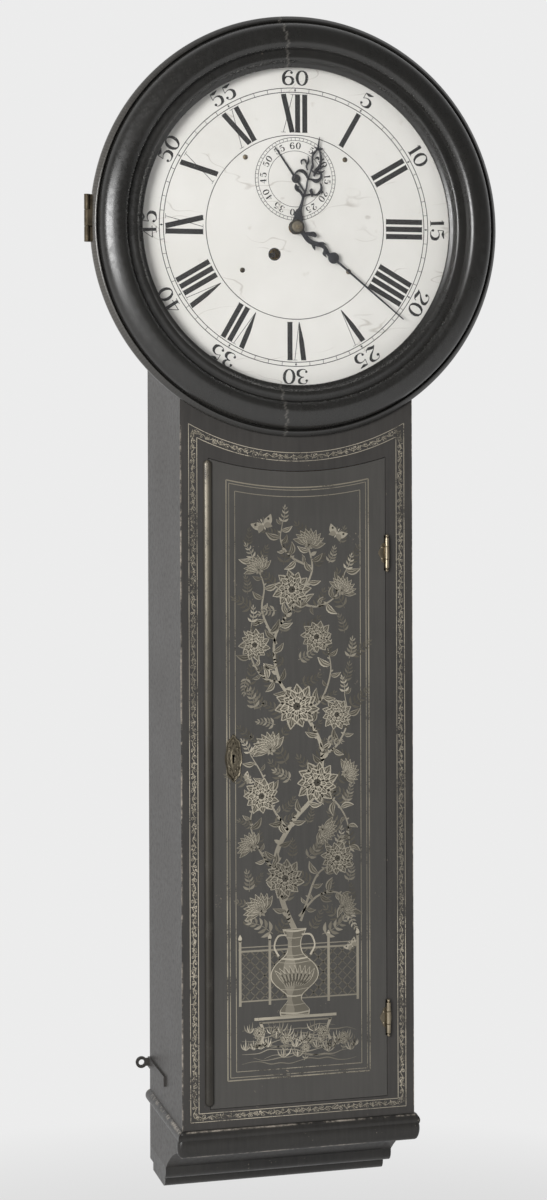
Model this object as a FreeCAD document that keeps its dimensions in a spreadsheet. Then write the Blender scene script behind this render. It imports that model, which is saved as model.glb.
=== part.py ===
"""Wall-hung tavern clock: trunk case, hinged bezel, painted door and eight-day timepiece movement.

Every outline is drawn in the dial frame: X to the right, Y towards the wall with 0 on the front
face of the trunk, Z up with 0 at the centre of the dial, all in millimetres. Each piece is then
moved to the row frame, whose origin is the hanging hole on the wall face of the case.
"""

import FreeCAD
import Part
import Sketcher
import math
import os
import re

from FreeCAD import Placement, Rotation, Vector

doc = FreeCAD.newDocument("tavern_clock")

# Sizes in millimetres, degrees or counts: name, value or formula in other sizes, what it is.
SIZES = [
    ("trunk_width", 300.0, "trunk across the sides"),
    ("trunk_depth", 196.0, "front of trunk to wall"),
    ("hang_height", 160.0, "hanging hole above dial centre"),
    ("head_top", "hang_height + 30", "top of the case sides above dial centre"),
    ("front_thick", 18.0, "front frame boards"),
    ("side_thick", 14.0, "side boards"),
    ("back_thick", 12.0, "backboard"),
    ("shelf_thick", 12.0, "top board of the head"),
    ("ring_outer", "bezel_outer - 6", "hood ring outer radius"),
    ("ring_inner", "bezel_sight + 7.5", "hood ring inner radius"),
    ("board_gap", 0.2, "gap between the hood ring and the boards that meet it"),
    ("door_half", "trunk_width / 2 - 36", "half width of the door"),
    ("door_fit", 0.8, "clearance round the door"),
    ("door_arc", 393.0, "radius of the hollow top edge of the door"),
    ("door_top", 304.6, "lowest point of that edge below dial centre"),
    ("door_bottom", 1092.0, "bottom of the door below dial centre"),
    ("door_proud", 0.3, "front of the door ahead of the frame"),
    ("door_bevel", 7.0, "how far the back of the hollow edge falls away so that the door can turn"),
    ("astragal_wide", 11.0, "bead that covers the free edge of the door"),
    ("astragal_lap", 4.0, "how far that bead sits on the door"),
    ("astragal_top", 290.0, "top of that bead below dial centre"),
    ("torus_top", 1117.0, "top of the base torus below dial centre"),
    ("torus_tall", 16.0, "height of the base torus"),
    ("torus_proud", 6.0, "how far the base torus stands out"),
    ("ovolo_tall", 17.0, "height of the ovolo under the torus"),
    ("ovolo_proud", 4.0, "how far the ovolo stands out at its top"),
    ("cove_front", 22.0, "front end of the base cove"),
    ("cove_back", 98.0, "back end of the base cove"),
    ("cove_bottom", 1191.0, "lower end of the base cove below dial centre"),
    ("cove_arc", 200.0, "radius of the base cove"),
    ("cove_thick", 10.0, "thickness of the cove board"),
    ("ledge_tall", 17.0, "upper board under the base"),
    ("foot_tall", 16.0, "lower board under the base"),
    ("foot_inset", 4.0, "how far the lower board stands in at the sides"),
    ("foot_front", 120.0, "front edge of the lower board"),
    ("bezel_outer", 262.0, "bezel outer radius"),
    ("bezel_sight", "bezel_outer - 64.5", "radius of the open part of the bezel"),
    ("bezel_gap", 0.4, "gap between bezel and hood ring"),
    ("bezel_deep", 28.0, "crest of the bezel torus ahead of the trunk"),
    ("glass_radius", "bezel_sight + 6.5", "glass radius"),
    ("glass_thick", 2.5, "glass thickness"),
    ("glass_back", 5.0, "back of the glass ahead of the trunk front"),
    ("dial_radius", "bezel_sight + 5.5", "dial plate radius"),
    ("dial_face", 6.0, "front of the dial behind the trunk front"),
    ("dial_thick", 2.0, "dial plate thickness"),
    ("wind_x", -27.3, "winding square across from dial centre"),
    ("wind_z", -34.2, "winding square above dial centre"),
    ("wind_hole", 7.0, "winding hole radius"),
    ("seconds_up", 60.4, "seconds arbor above dial centre"),
    ("seconds_hole", 4.0, "hole in the dial for the seconds arbor"),
    ("centre_hole", 9.0, "hole in the dial for the hand pipes"),
    ("foot_high", 86.0, "upper dial feet above dial centre"),
    ("foot_high_x", 64.5, "upper dial feet across"),
    ("foot_low", 54.6, "lower dial feet below dial centre"),
    ("foot_low_x", 68.7, "lower dial feet across"),
    ("foot_radius", 3.0, "dial foot radius"),
    ("plate_front", 30.0, "front of the front plate behind the trunk front"),
    ("plate_thick", 3.0, "movement plate thickness"),
    ("plate_space", 60.0, "space between the movement plates"),
    ("plate_half", 76.0, "half width of the movement plates"),
    ("plate_top", 108.0, "top of the plates above dial centre"),
    ("plate_bottom", 82.0, "bottom of the plates below dial centre"),
    ("pillar_radius", 5.0, "plate pillar radius"),
    ("pillar_x", 67.0, "plate pillars across"),
    ("pillar_z", 71.0, "plate pillars up and down"),
    ("arbor_radius", 2.2, "wheel arbor radius"),
    ("pivot_radius", 1.2, "pivot radius"),
    ("pivot_play", 0.05, "radial play of a pivot in its hole"),
    ("wheel_thick", 2.4, "train wheel thickness"),
    ("barrel_radius", 15.5, "barrel radius"),
    ("gut_radius", 0.5, "gut line radius"),
    ("barrel_turns", 16.0, "turns of gut on the barrel"),
    ("seat_thick", 14.0, "seatboard thickness"),
    ("seat_back", 108.0, "back edge of the seatboard"),
    ("pulley_radius", 22.0, "gut centre line round the pulley"),
    ("pulley_low", 945.0, "pulley centre below dial centre when run down"),
    ("weight_radius", 28.0, "driving weight radius"),
    ("weight_tall", 150.0, "driving weight height"),
    ("weight_drop", 46.0, "top of the weight below the pulley centre"),
    ("pallet_up", 90.0, "pallet arbor above dial centre"),
    ("crutch_long", 132.0, "pallet arbor to the lower end of the crutch"),
    ("crutch_wide", 3.0, "crutch across"),
    ("crutch_thick", 2.0, "crutch front to back"),
    ("pendulum_y", 118.0, "pendulum rod behind the trunk front"),
    ("pendulum_long", 994.0, "pendulum pivot to centre of bob"),
    ("rod_radius", 2.5, "pendulum rod radius"),
    ("bob_radius", 52.0, "bob radius"),
    ("bob_thick", 26.0, "bob thickness"),
    ("minute_long", 180.0, "minute hand from centre to tip"),
    ("hour_long", 117.0, "hour hand from centre to tip"),
    ("seconds_long", 48.0, "seconds hand from centre to tip"),
    ("minute_angle", 129.4, "minute hand clockwise from twelve, degrees"),
    ("hour_angle", 14.9, "hour hand clockwise from twelve, degrees"),
    ("seconds_angle", -34.7, "seconds hand clockwise from sixty, degrees"),
    ("hinge_y", -3.6, "door hinge axis behind the trunk front"),
    ("hinge_reach", 1.4, "door hinge axis beyond the door edge"),
    ("knuckle_radius", 3.3, "door hinge knuckle radius"),
    ("pin_radius", 1.5, "hinge pin radius"),
    ("pin_play", 0.05, "radial play of a hinge pin"),
    ("leaf_thick", 1.6, "door hinge leaf thickness"),
    ("leaf_deep", 12.0, "door hinge leaf width"),
    ("door_hinge_tall", 45.0, "door hinge height"),
    ("door_hinge_high", 408.5, "middle of the upper door hinge below dial centre"),
    ("door_hinge_low", 993.5, "middle of the lower door hinge below dial centre"),
    ("bezel_axis_x", "bezel_outer + 3", "bezel hinge axis left of dial centre"),
    ("bezel_hinge_up", 6.0, "middle of the bezel hinge above dial centre"),
    ("bezel_hinge_tall", 58.0, "bezel hinge height"),
    ("bezel_knuckle", 3.4, "bezel hinge knuckle radius"),
    ("bezel_leaf", 2.0, "bezel hinge leaf thickness"),
    ("lock_z", 660.0, "middle of the lock below dial centre"),
    ("lock_x", "door_half - 30.4", "keyhole left of dial centre"),
    ("bolt_throw", 6.0, "travel of the lock bolt"),
    ("bolt_fit", 0.3, "clearance round the lock bolt"),
    ("escutcheon_wide", 22.0, "escutcheon width"),
    ("escutcheon_tall", 59.0, "escutcheon height"),
    ("escutcheon_thick", 1.6, "escutcheon thickness"),
    ("key_round", 1.9, "radius of the round part of the keyhole"),
    ("lug_z", 1081.0, "wall lugs below dial centre"),
    ("lug_out", 11.7, "lug eye outside the case side"),
    ("lug_eye", 7.6, "lug eye outer radius"),
    ("lug_hole", 3.8, "lug hole radius"),
    ("lug_thick", 3.0, "lug iron thickness"),
    ("lug_tall", 13.0, "lug strap height"),
    ("lug_long", 100.0, "lug strap length along the side"),
    ("hang_radius", 6.0, "hanging hole radius"),
    ("hang_thick", 3.0, "hanging plate thickness"),
]

sheet = doc.addObject("Spreadsheet::Sheet", "Sheet")
for row, (alias, value, meaning) in enumerate(SIZES, start=1):
    sheet.set("A%d" % row, meaning)
    sheet.setAlias("B%d" % row, alias)
for row, (alias, value, meaning) in enumerate(SIZES, start=1):
    sheet.set("B%d" % row, "=" + value if isinstance(value, str) else str(value))
doc.recompute()

ALIAS = re.compile(r"\b(" + "|".join(sorted((entry[0] for entry in SIZES), key=len, reverse=True)) + r")\b")
kept = []


def size(alias):
    """Value of one cell of the sheet."""
    found = sheet.get(alias)
    return float(getattr(found, "Value", found))


def formula(text):
    """Expression with every size name turned into a reference to the sheet."""
    return ALIAS.sub(r"Sheet.\1", str(text))


def number(text):
    """Value that an expression has now, for the first drawing of a sketch."""
    found = sheet.evalExpression(formula(text))
    return float(getattr(found, "Value", found))


def bind(item, prop, text):
    item.setExpression(prop, formula(text))


def place(item, x="0", y="0", z="0"):
    """Put an object at a point of the dial frame, shifted to the row frame."""
    bind(item, "Placement.Base.x", x)
    bind(item, "Placement.Base.y", "(%s) - trunk_depth" % y)
    bind(item, "Placement.Base.z", "(%s) - hang_height" % z)
    return item


def keep(item, label):
    """Mark an object as a finished piece under its own name."""
    item.Label = label
    kept.append(item)
    return item


def box(x_low, x_high, y_low, y_high, z_low, z_high):
    item = doc.addObject("Part::Box", "box")
    bind(item, "Length", "(%s) - (%s)" % (x_high, x_low))
    bind(item, "Width", "(%s) - (%s)" % (y_high, y_low))
    bind(item, "Height", "(%s) - (%s)" % (z_high, z_low))
    return place(item, x_low, y_low, z_low)


def rod_y(radius, x, z, y_low, y_high):
    """Round bar along Y."""
    item = doc.addObject("Part::Cylinder", "rod")
    item.Placement = Placement(Vector(), Rotation(Vector(1, 0, 0), -90))
    bind(item, "Radius", radius)
    bind(item, "Height", "(%s) - (%s)" % (y_high, y_low))
    return place(item, x, y_low, z)


def cone_y(radius_low, radius_high, x, z, y_low, y_high):
    """Tapered round bar along Y."""
    item = doc.addObject("Part::Cone", "taper")
    item.Placement = Placement(Vector(), Rotation(Vector(1, 0, 0), -90))
    bind(item, "Radius1", radius_low)
    bind(item, "Radius2", radius_high)
    bind(item, "Height", "(%s) - (%s)" % (y_high, y_low))
    return place(item, x, y_low, z)


def turned_z(radius, x, y, z_low, z_high, sides=12):
    """Small turned bar along Z, drawn with flat sides whose corners lie on its radius."""
    item = doc.addObject("Part::Prism", "bar")
    item.Polygon = sides
    bind(item, "Circumradius", radius)
    bind(item, "Height", "(%s) - (%s)" % (z_high, z_low))
    return place(item, x, y, z_low)


def turned_y(radius, x, z, y_low, y_high, sides=16):
    """The same along Y."""
    item = doc.addObject("Part::Prism", "bar")
    item.Polygon = sides
    item.Placement = Placement(Vector(), Rotation(Vector(1, 0, 0), -90))
    bind(item, "Circumradius", radius)
    bind(item, "Height", "(%s) - (%s)" % (y_high, y_low))
    return place(item, x, y_low, z)


def bored_z(radius, x, y, z_low, z_high, sides=12):
    """Bore for such a bar: its flats touch the radius, so a bar turns in it at any angle."""
    return turned_z("(%s) / cos(180 deg / %d)" % (radius, sides), x, y, z_low, z_high, sides)


def cut(base, *tools):
    for tool in tools:
        item = doc.addObject("Part::Cut", "cut")
        item.Base = base
        item.Tool = tool
        base = item
    return base


def fuse(*items):
    item = doc.addObject("Part::MultiFuse", "fuse")
    item.Shapes = list(items)
    item.Refine = True
    return item


def common(base, tool):
    item = doc.addObject("Part::Common", "common")
    item.Base = base
    item.Tool = tool
    return item


def group(*items):
    """Several separate solids that share one piece name."""
    item = doc.addObject("Part::Compound", "group")
    item.Links = list(items)
    return item


def origin_plane(body, role):
    return [f for f in body.Origin.OriginFeatures if f.Role == role][0]


def arc_centre(start, end, radius, turn):
    """Centre of an arc between two points; turn is 1 anticlockwise or -1 clockwise, short way."""
    chord = (end[0] - start[0], end[1] - start[1])
    length = math.hypot(*chord)
    height = math.sqrt(max(radius * radius - length * length / 4, 0.0))
    middle = ((start[0] + end[0]) / 2, (start[1] + end[1]) / 2)
    return (middle[0] - turn * chord[1] / length * height, middle[1] + turn * chord[0] / length * height)


def profile(body, role, corners):
    """Closed sketch. A corner is (u, v), or (u, v, radius, turn) where an arc leads to it."""
    sketch = body.newObject("Sketcher::SketchObject", "profile")
    sketch.AttachmentSupport = (origin_plane(body, role), [""])
    sketch.MapMode = "FlatFace"
    points = [(number(c[0]), number(c[1])) for c in corners]
    for i, corner in enumerate(corners):
        start = Vector(*points[i - 1], 0)
        end = Vector(*points[i], 0)
        if len(corner) == 2:
            sketch.addGeometry(Part.LineSegment(start, end))
            continue
        radius = number(corner[2])
        turn = corner[3]
        centre = arc_centre(points[i - 1], points[i], radius, turn)
        first = math.atan2(start.y - centre[1], start.x - centre[0])
        last = math.atan2(end.y - centre[1], end.x - centre[0])
        circle = Part.Circle(Vector(*centre, 0), Vector(0, 0, 1), radius)
        if turn < 0:
            first, last = last, first
        sketch.addGeometry(Part.ArcOfCircle(circle, first, last))
    count = len(corners)
    for i, corner in enumerate(corners):
        arc = len(corner) == 4
        following = corners[(i + 1) % count]
        here = 1 if arc and corner[3] < 0 else 2
        there = 2 if len(following) == 4 and following[3] < 0 else 1
        sketch.addConstraint(Sketcher.Constraint("Coincident", i, here, (i + 1) % count, there))
        for kind, value in (("DistanceX", corner[0]), ("DistanceY", corner[1])):
            made = sketch.addConstraint(Sketcher.Constraint(kind, i, here, number(value)))
            sketch.setExpression("Constraints[%d]" % made, formula(value))
        if arc:
            made = sketch.addConstraint(Sketcher.Constraint("Radius", i, number(corner[2])))
            sketch.setExpression("Constraints[%d]" % made, formula(corner[2]))
    return sketch


def padded(corners, role, thick, x="0", y="0", z="0", back=False):
    """Body with one profile pushed out by a thickness."""
    body = doc.addObject("PartDesign::Body", "body")
    pad = body.newObject("PartDesign::Pad", "pad")
    pad.Profile = profile(body, role, corners)
    bind(pad, "Length", thick)
    pad.Reversed = back
    body.Tip = pad
    return place(body, x, y, z)


def turned(corners, role, axis, x="0", y="0", z="0"):
    """Body with one profile turned a full circle about a sketch axis."""
    body = doc.addObject("PartDesign::Body", "body")
    turn = body.newObject("PartDesign::Revolution", "turn")
    turn.Profile = profile(body, role, corners)
    turn.ReferenceAxis = (turn.Profile[0], [axis])
    turn.Angle = 360
    body.Tip = turn
    return place(body, x, y, z)


def shaped(shape):
    """Feature with a shape worked out here in the dial frame."""
    item = doc.addObject("Part::Feature", "shaped")
    item.Shape = shape
    return place(item)


def polygon(points):
    """Flat face inside a ring of corners."""
    return Part.Face(Part.makePolygon(points + points[:1]))


def along_y(face, y_low, y_high):
    """Prism of a face drawn at Y 0, between two depths."""
    face.translate(Vector(0, y_low, 0))
    return face.extrude(Vector(0, y_high - y_low, 0))


def disc(radius, x, z, y_low, y_high):
    """Plain round bar along Y as a shape."""
    return Part.makeCylinder(radius, y_high - y_low, Vector(x, y_low, z), Vector(0, 1, 0))


def ring_points(radius, x, z, sides, turn=0.0):
    """Corners of a regular polygon in the XZ plane."""
    return [
        Vector(x + radius * math.cos(turn + 2 * math.pi * k / sides), 0,
               z + radius * math.sin(turn + 2 * math.pi * k / sides))
        for k in range(sides)
    ]


def bar(radius, x, z, y_low, y_high, sides=10):
    """Small turned bar along Y, drawn with flat sides whose corners lie on its radius."""
    return along_y(polygon(ring_points(radius, x, z, sides)), y_low, y_high)


def bore(radius, x, z, y_low, y_high, sides=10):
    """Bore for such a bar: its flats touch the radius, so a bar turns in it at any angle."""
    return bar(radius / math.cos(math.pi / sides), x, z, y_low, y_high, sides)


def spun(steps, x, y, z, axis, sides):
    """Turned solid from (distance along the axis, radius) steps, drawn with flat sides."""
    rings = []
    for along, radius in steps:
        points = []
        for k in range(sides):
            angle = 2 * math.pi * k / sides
            across = (radius * math.cos(angle), radius * math.sin(angle))
            if axis == "y":
                points.append(Vector(x + across[0], y + along, z + across[1]))
            else:
                points.append(Vector(x + across[0], y + across[1], z + along))
        rings.append(points)
    return skinned(rings)


def skinned(rings):
    """Solid with flat faces between rings of matching corners and across the two end rings."""
    faces = [polygon(rings[0]), polygon(rings[-1])]
    for first, second in zip(rings, rings[1:]):
        for k in range(len(first)):
            faces.append(polygon([first[k - 1], first[k], second[k], second[k - 1]]))
    solid = Part.makeSolid(Part.makeShell(faces))
    return solid if solid.Volume > 0 else solid.reversed()


def dial_point(radius, degrees):
    """Point in the XZ plane at a radius and an angle clockwise from twelve."""
    angle = math.radians(degrees)
    return Vector(radius * math.sin(angle), 0, radius * math.cos(angle))


# Case

OVAL_SIDES = 28
HALF = "trunk_width / 2"
INNER = "trunk_width / 2 - side_thick"
WALL = "trunk_depth"
BACK = "trunk_depth - back_thick"


def case_sides():
    """Side boards, each cut away under the front by the base cove."""
    corners = [
        ("front_thick", "head_top"),
        ("front_thick", "-torus_top - torus_tall - ovolo_tall"),
        ("cove_front", "-torus_top - torus_tall - ovolo_tall"),
        ("cove_back", "-cove_bottom", "cove_arc", -1),
        (WALL, "-cove_bottom"),
        (WALL, "head_top"),
    ]
    keep(padded(corners, "YZ_Plane", "side_thick", x="-trunk_width / 2"), "side_left")
    keep(padded(corners, "YZ_Plane", "side_thick", x=INNER), "side_right")


def case_back():
    """Backboard with the recess for the hanging plate, and the top board."""
    board = box("-(%s)" % INNER, INNER, BACK, WALL, "-cove_bottom", "head_top")
    recess = box("-30.2", "30.2", WALL + " - hang_thick", WALL + " + 1", "hang_height - 20.2", "hang_height + 20.2")
    hole = turned_y("hang_radius + 5", "0", "hang_height", BACK + " - 1", WALL + " + 1", 20)
    keep(cut(board, recess, hole), "backboard")
    plate = box("-30", "30", WALL + " - hang_thick", WALL, "hang_height - 20", "hang_height + 20")
    bore = rod_y("hang_radius", "0", "hang_height", WALL + " - hang_thick - 1", WALL + " + 1")
    keep(cut(plate, bore), "hanging_plate")
    keep(box("-(%s)" % INNER, INNER, "front_thick", BACK, "head_top - shelf_thick", "head_top"), "head_top_board")


def front_frame():
    """Stiles and rails round the door, hollowed above to take the hood ring."""
    opening = "door_half + door_fit"
    low = "-torus_top - torus_tall - ovolo_tall"
    hollow = rod_y("ring_outer + board_gap", "0", "0", "-1", "front_thick + 1")
    hinge = "door_half + door_fit"
    stile = box("-(%s)" % HALF, "-(%s)" % opening, "0", "front_thick", low, "-150")
    keep(cut(stile, hollow), "front_stile_left")
    stile = box(opening, HALF, "0", "front_thick", low, "-150")
    housings = []
    for middle in ("door_hinge_high", "door_hinge_low"):
        housings.append(
            box(
                hinge + " - 1",
                hinge + " + leaf_thick",
                "-1",
                "hinge_y + leaf_deep",
                "-%s - door_hinge_tall / 2" % middle,
                "-%s + door_hinge_tall / 2" % middle,
            )
        )
    keep(cut(stile, hollow, *housings), "front_stile_right")
    rail = box("-(%s)" % opening, opening, "0", "front_thick", "-door_top - 1", "-150")
    arch = rod_y("door_arc", "0", "door_arc - door_top", "-1", "front_thick + 1")
    keep(cut(common(rail, arch), hollow), "front_top_rail")
    rail = box("-(%s)" % opening, opening, "0", "front_thick", low, "-door_bottom - door_fit")
    keep(rail, "front_bottom_rail")


def base_mouldings():
    """Torus round front and sides, ovolo and cove under the front, and two stepped boards."""
    torus_low = "-torus_top - torus_tall"
    block = box(
        "-(%s) - torus_proud" % HALF, HALF + " + torus_proud", "-torus_proud", WALL, torus_low, "-torus_top"
    )
    room = box("-(%s)" % HALF, HALF, "0", WALL + " + 1", torus_low + " - 1", "-torus_top + 1")
    doc.recompute()
    rounded = doc.addObject("Part::Fillet", "rounded")
    rounded.Base = block
    radius = size("torus_tall") / 2 - 0.1
    edges = []
    for index, edge in enumerate(block.Shape.Edges, start=1):
        bounds = edge.BoundBox
        level = bounds.ZLength < 0.01
        at_wall = bounds.YMin > -1
        if level and not at_wall:
            edges.append((index, radius, radius))
    rounded.Edges = edges
    keep(cut(rounded, room), "base_torus")
    corners = [
        ("0", torus_low),
        ("-ovolo_proud", torus_low),
        ("-ovolo_proud", torus_low + " - 3"),
        ("0", torus_low + " - ovolo_tall", "ovolo_tall", 1),
    ]
    keep(padded(corners, "YZ_Plane", "trunk_width", x="-trunk_width / 2"), "base_ovolo")
    corners = [
        ("cove_front", torus_low + " - ovolo_tall"),
        ("cove_back", "-cove_bottom", "cove_arc", -1),
        ("cove_back + cove_thick", "-cove_bottom"),
        ("cove_front + cove_thick", torus_low + " - ovolo_tall + cove_thick / 2", "cove_arc", 1),
        ("cove_front", torus_low + " - ovolo_tall + cove_thick / 2"),
    ]
    keep(padded(corners, "YZ_Plane", "2 * (%s)" % INNER, x="-(%s)" % INNER), "base_cove")
    ledge_low = "-cove_bottom - ledge_tall"
    corners = [
        ("cove_back", "-cove_bottom"),
        ("cove_back", "-cove_bottom - 4"),
        ("cove_back + 13", ledge_low, "13", 1),
        (WALL, ledge_low),
        (WALL, "-cove_bottom"),
    ]
    keep(padded(corners, "YZ_Plane", "trunk_width", x="-trunk_width / 2"), "base_ledge")
    foot_low = ledge_low + " - foot_tall"
    corners = [
        ("foot_front", ledge_low),
        ("foot_front", ledge_low + " - 5"),
        ("foot_front + 11", foot_low, "11", 1),
        (WALL, foot_low),
        (WALL, ledge_low),
    ]
    keep(
        padded(corners, "YZ_Plane", "trunk_width - 2 * foot_inset", x="-trunk_width / 2 + foot_inset"),
        "base_foot_board",
    )


BEZEL_LEAF_X = "-bezel_axis_x + bezel_knuckle + 0.2"


def hood_ring():
    """Flat ring that carries the bezel and closes round the dial."""
    ring = cut(
        rod_y("ring_outer", "0", "0", "0", "front_thick"), rod_y("ring_inner", "0", "0", "-1", "front_thick + 1")
    )
    housing = box(
        "-ring_outer - 5",
        "-ring_outer + bezel_leaf + 1.2",
        "-1",
        "front_thick + 1",
        "bezel_hinge_up - bezel_hinge_tall / 2 - 0.1",
        "bezel_hinge_up + bezel_hinge_tall / 2 + 0.1",
    )
    keep(cut(ring, housing), "hood_ring")


def bezel():
    """Moulded wooden bezel with a rebate behind its lip, and the glass that lies in the rebate."""
    back = "-bezel_gap"
    seat = "-glass_back - glass_thick"
    corners = [
        (back, "ring_inner"),
        (seat, "ring_inner"),
        (seat, "bezel_sight"),
        (seat + " - 2.5", "bezel_sight"),
        ("-bezel_deep * 0.5", "bezel_sight + 15.5"),
        ("-bezel_deep * 0.71", "bezel_sight + 20"),
        ("-bezel_deep * 0.61", "bezel_sight + 26"),
        ("-bezel_deep * 0.93", "bezel_outer - 33"),
        ("-bezel_deep", "bezel_outer - 24"),
        ("-bezel_deep * 0.75", "bezel_outer - 14.5"),
        ("-bezel_deep * 0.3", "bezel_outer - 11"),
        ("-bezel_deep * 0.25", "bezel_outer"),
        (back, "bezel_outer"),
    ]
    ring = turned(corners, "YZ_Plane", "H_Axis")
    housing = box(
        "-bezel_outer - 5",
        "-bezel_outer + bezel_leaf + 1.8",
        "-7",
        "1",
        "bezel_hinge_up - bezel_hinge_tall / 2 - 0.1",
        "bezel_hinge_up + bezel_hinge_tall / 2 + 0.1",
    )
    keep(cut(ring, housing), "bezel_ring")
    keep(rod_y("glass_radius", "0", "0", "-glass_back - glass_thick", "-glass_back"), "bezel_glass")


def knuckles(radius, x, y, middle, tall, shares, hole):
    """Lengths of hinge barrel between fractions of the height, bored for the pin."""
    pieces = []
    for low, high in shares:
        z_low = "%s + %s * %s" % (middle, tall, low)
        z_high = "%s + %s * %s" % (middle, tall, high)
        tube = turned_z(radius, x, y, z_low, z_high)
        if hole:
            tube = cut(tube, bored_z(hole, x, y, z_low + " - 1", z_high + " + 1"))
        pieces.append(tube)
    return pieces


def bezel_hinge():
    """Butt hinge on the left edge: one leaf on the hood ring, one on the bezel."""
    x = "-bezel_axis_x"
    y = "-bezel_gap / 2"
    middle = "bezel_hinge_up"
    low = "bezel_hinge_up - bezel_hinge_tall / 2"
    high = "bezel_hinge_up + bezel_hinge_tall / 2"
    tube = knuckles("bezel_knuckle", x, y, middle, "bezel_hinge_tall", (("-0.5", "-0.18"), ("0.18", "0.5")), "")
    pin = turned_z("pin_radius", x, y, low + " + 1", high + " - 1")
    room = box(x + " - 5", x + " + 9", "-9", y + " + 4.5", middle + " - bezel_hinge_tall * 0.18 - 0.15",
               middle + " + bezel_hinge_tall * 0.18 + 0.15")
    leaf = box(x, "-ring_outer + bezel_leaf + 1", y, "front_thick", low, high)
    trim = box(x + " - 1", "-ring_outer + 1", "bezel_knuckle + 1", "front_thick + 1", low + " - 1", high + " + 1")
    keep(fuse(cut(cut(leaf, trim), room), *tube, pin), "bezel_hinge_fixed")
    tube = knuckles(
        "bezel_knuckle", x, y, middle, "bezel_hinge_tall", (("-0.17", "0.17"),), "pin_radius + pin_play"
    )
    arm_low = middle + " - bezel_hinge_tall * 0.17"
    arm_high = middle + " + bezel_hinge_tall * 0.17"
    arm = box(x, "-bezel_outer + bezel_leaf + 1.6", "-6.8", y + " - 1.8", arm_low, arm_high)
    bore = bored_z("pin_radius + pin_play", x, y, arm_low + " - 1", arm_high + " + 1")
    keep(fuse(tube[0], cut(arm, bore)), "bezel_hinge_leaf")


def door():
    """Door board with its hollow top edge, hinge housings, keyhole and the bead on its free edge."""
    front = "-door_proud"
    board = box("-door_half", "door_half", front, front + " + front_thick", "-door_bottom", "-door_top + 30")
    edge = "door_arc + door_fit"
    taper = "door_bevel / front_thick"
    arch = cone_y(
        "%s - 2 * %s" % (edge, taper),
        "%s + door_bevel + 2 * %s" % (edge, taper),
        "0",
        "door_arc - door_top",
        front + " - 2",
        front + " + front_thick + 2",
    )
    tools = [arch]
    for middle in ("door_hinge_high", "door_hinge_low"):
        low = "-%s - door_hinge_tall / 2" % middle
        high = "-%s + door_hinge_tall / 2" % middle
        tools.append(box("door_half - leaf_thick", "door_half + 1", "-1", "hinge_y + leaf_deep", low, high))
    tools.append(rod_y("key_round + 0.2", "-lock_x", "-lock_z + 3", "-2", "front_thick + 1"))
    tools.append(
        box("-lock_x - 1", "-lock_x + 1", "-2", "front_thick + 1", "-lock_z - 6", "-lock_z + 3")
    )
    keep(cut(board, *tools), "door_panel")
    corners = [
        ("-door_half - astragal_wide + astragal_lap", front),
        ("-door_half - astragal_wide + astragal_lap", front + " - 1.2"),
        ("-door_half + astragal_lap", front + " - 1.2", "astragal_wide * 0.6", 1),
        ("-door_half + astragal_lap", front),
    ]
    bead = padded(corners, "XY_Plane", "door_bottom - astragal_top - 3", z="-door_bottom + 3")
    keep(bead, "door_astragal")


def door_hinges():
    """Two door hinges: barrels stand ahead of the joint, leaves are let into the edges."""
    x = "door_half + hinge_reach"
    fixed = []
    moving = []
    for middle in ("door_hinge_high", "door_hinge_low"):
        level = "-" + middle
        low = level + " - door_hinge_tall / 2"
        high = level + " + door_hinge_tall / 2"
        tube = knuckles("knuckle_radius", x, "hinge_y", level, "door_hinge_tall",
                        (("-0.5", "-0.17"), ("0.17", "0.5")), "")
        pin = turned_z("pin_radius", x, "hinge_y", low, high)
        leaf = box("door_half + door_fit", "door_half + door_fit + leaf_thick", "hinge_y",
                   "hinge_y + leaf_deep", low, high)
        room = box("door_half - 4", x + " + 6", "hinge_y - 5", "hinge_y + knuckle_radius + 0.3",
                   level + " - door_hinge_tall * 0.17 - 0.15", level + " + door_hinge_tall * 0.17 + 0.15")
        tips = [turned_z("knuckle_radius * 0.7", x, "hinge_y", low + " - 2.5", low, 8),
                turned_z("knuckle_radius * 0.7", x, "hinge_y", high, high + " + 2.5", 8)]
        fixed.append(fuse(cut(leaf, room), *tube, pin, *tips))
        share = "door_hinge_tall * 0.16"
        tube = knuckles("knuckle_radius", x, "hinge_y", level, "door_hinge_tall",
                        (("-0.16", "0.16"),), "pin_radius + pin_play")
        leaf = box("door_half - leaf_thick", "door_half", "hinge_y + knuckle_radius * 0.6", "hinge_y + leaf_deep",
                   low, high)
        arm = box("door_half - leaf_thick", x, "hinge_y + pin_radius + 0.5", "hinge_y + knuckle_radius * 0.9",
                  level + " - " + share, level + " + " + share)
        clear = [
            box("door_half - 4", "door_half + 1", "hinge_y - 5", "hinge_y + knuckle_radius + 0.3",
                level + " + " + share, high + " + 1"),
            box("door_half - 4", "door_half + 1", "hinge_y - 5", "hinge_y + knuckle_radius + 0.3",
                low + " - 1", level + " - " + share),
        ]
        moving.append(fuse(cut(leaf, *clear), arm, tube[0]))
    keep(group(*fixed), "door_hinge_fixed")
    keep(group(*moving), "door_hinge_leaves")


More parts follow.
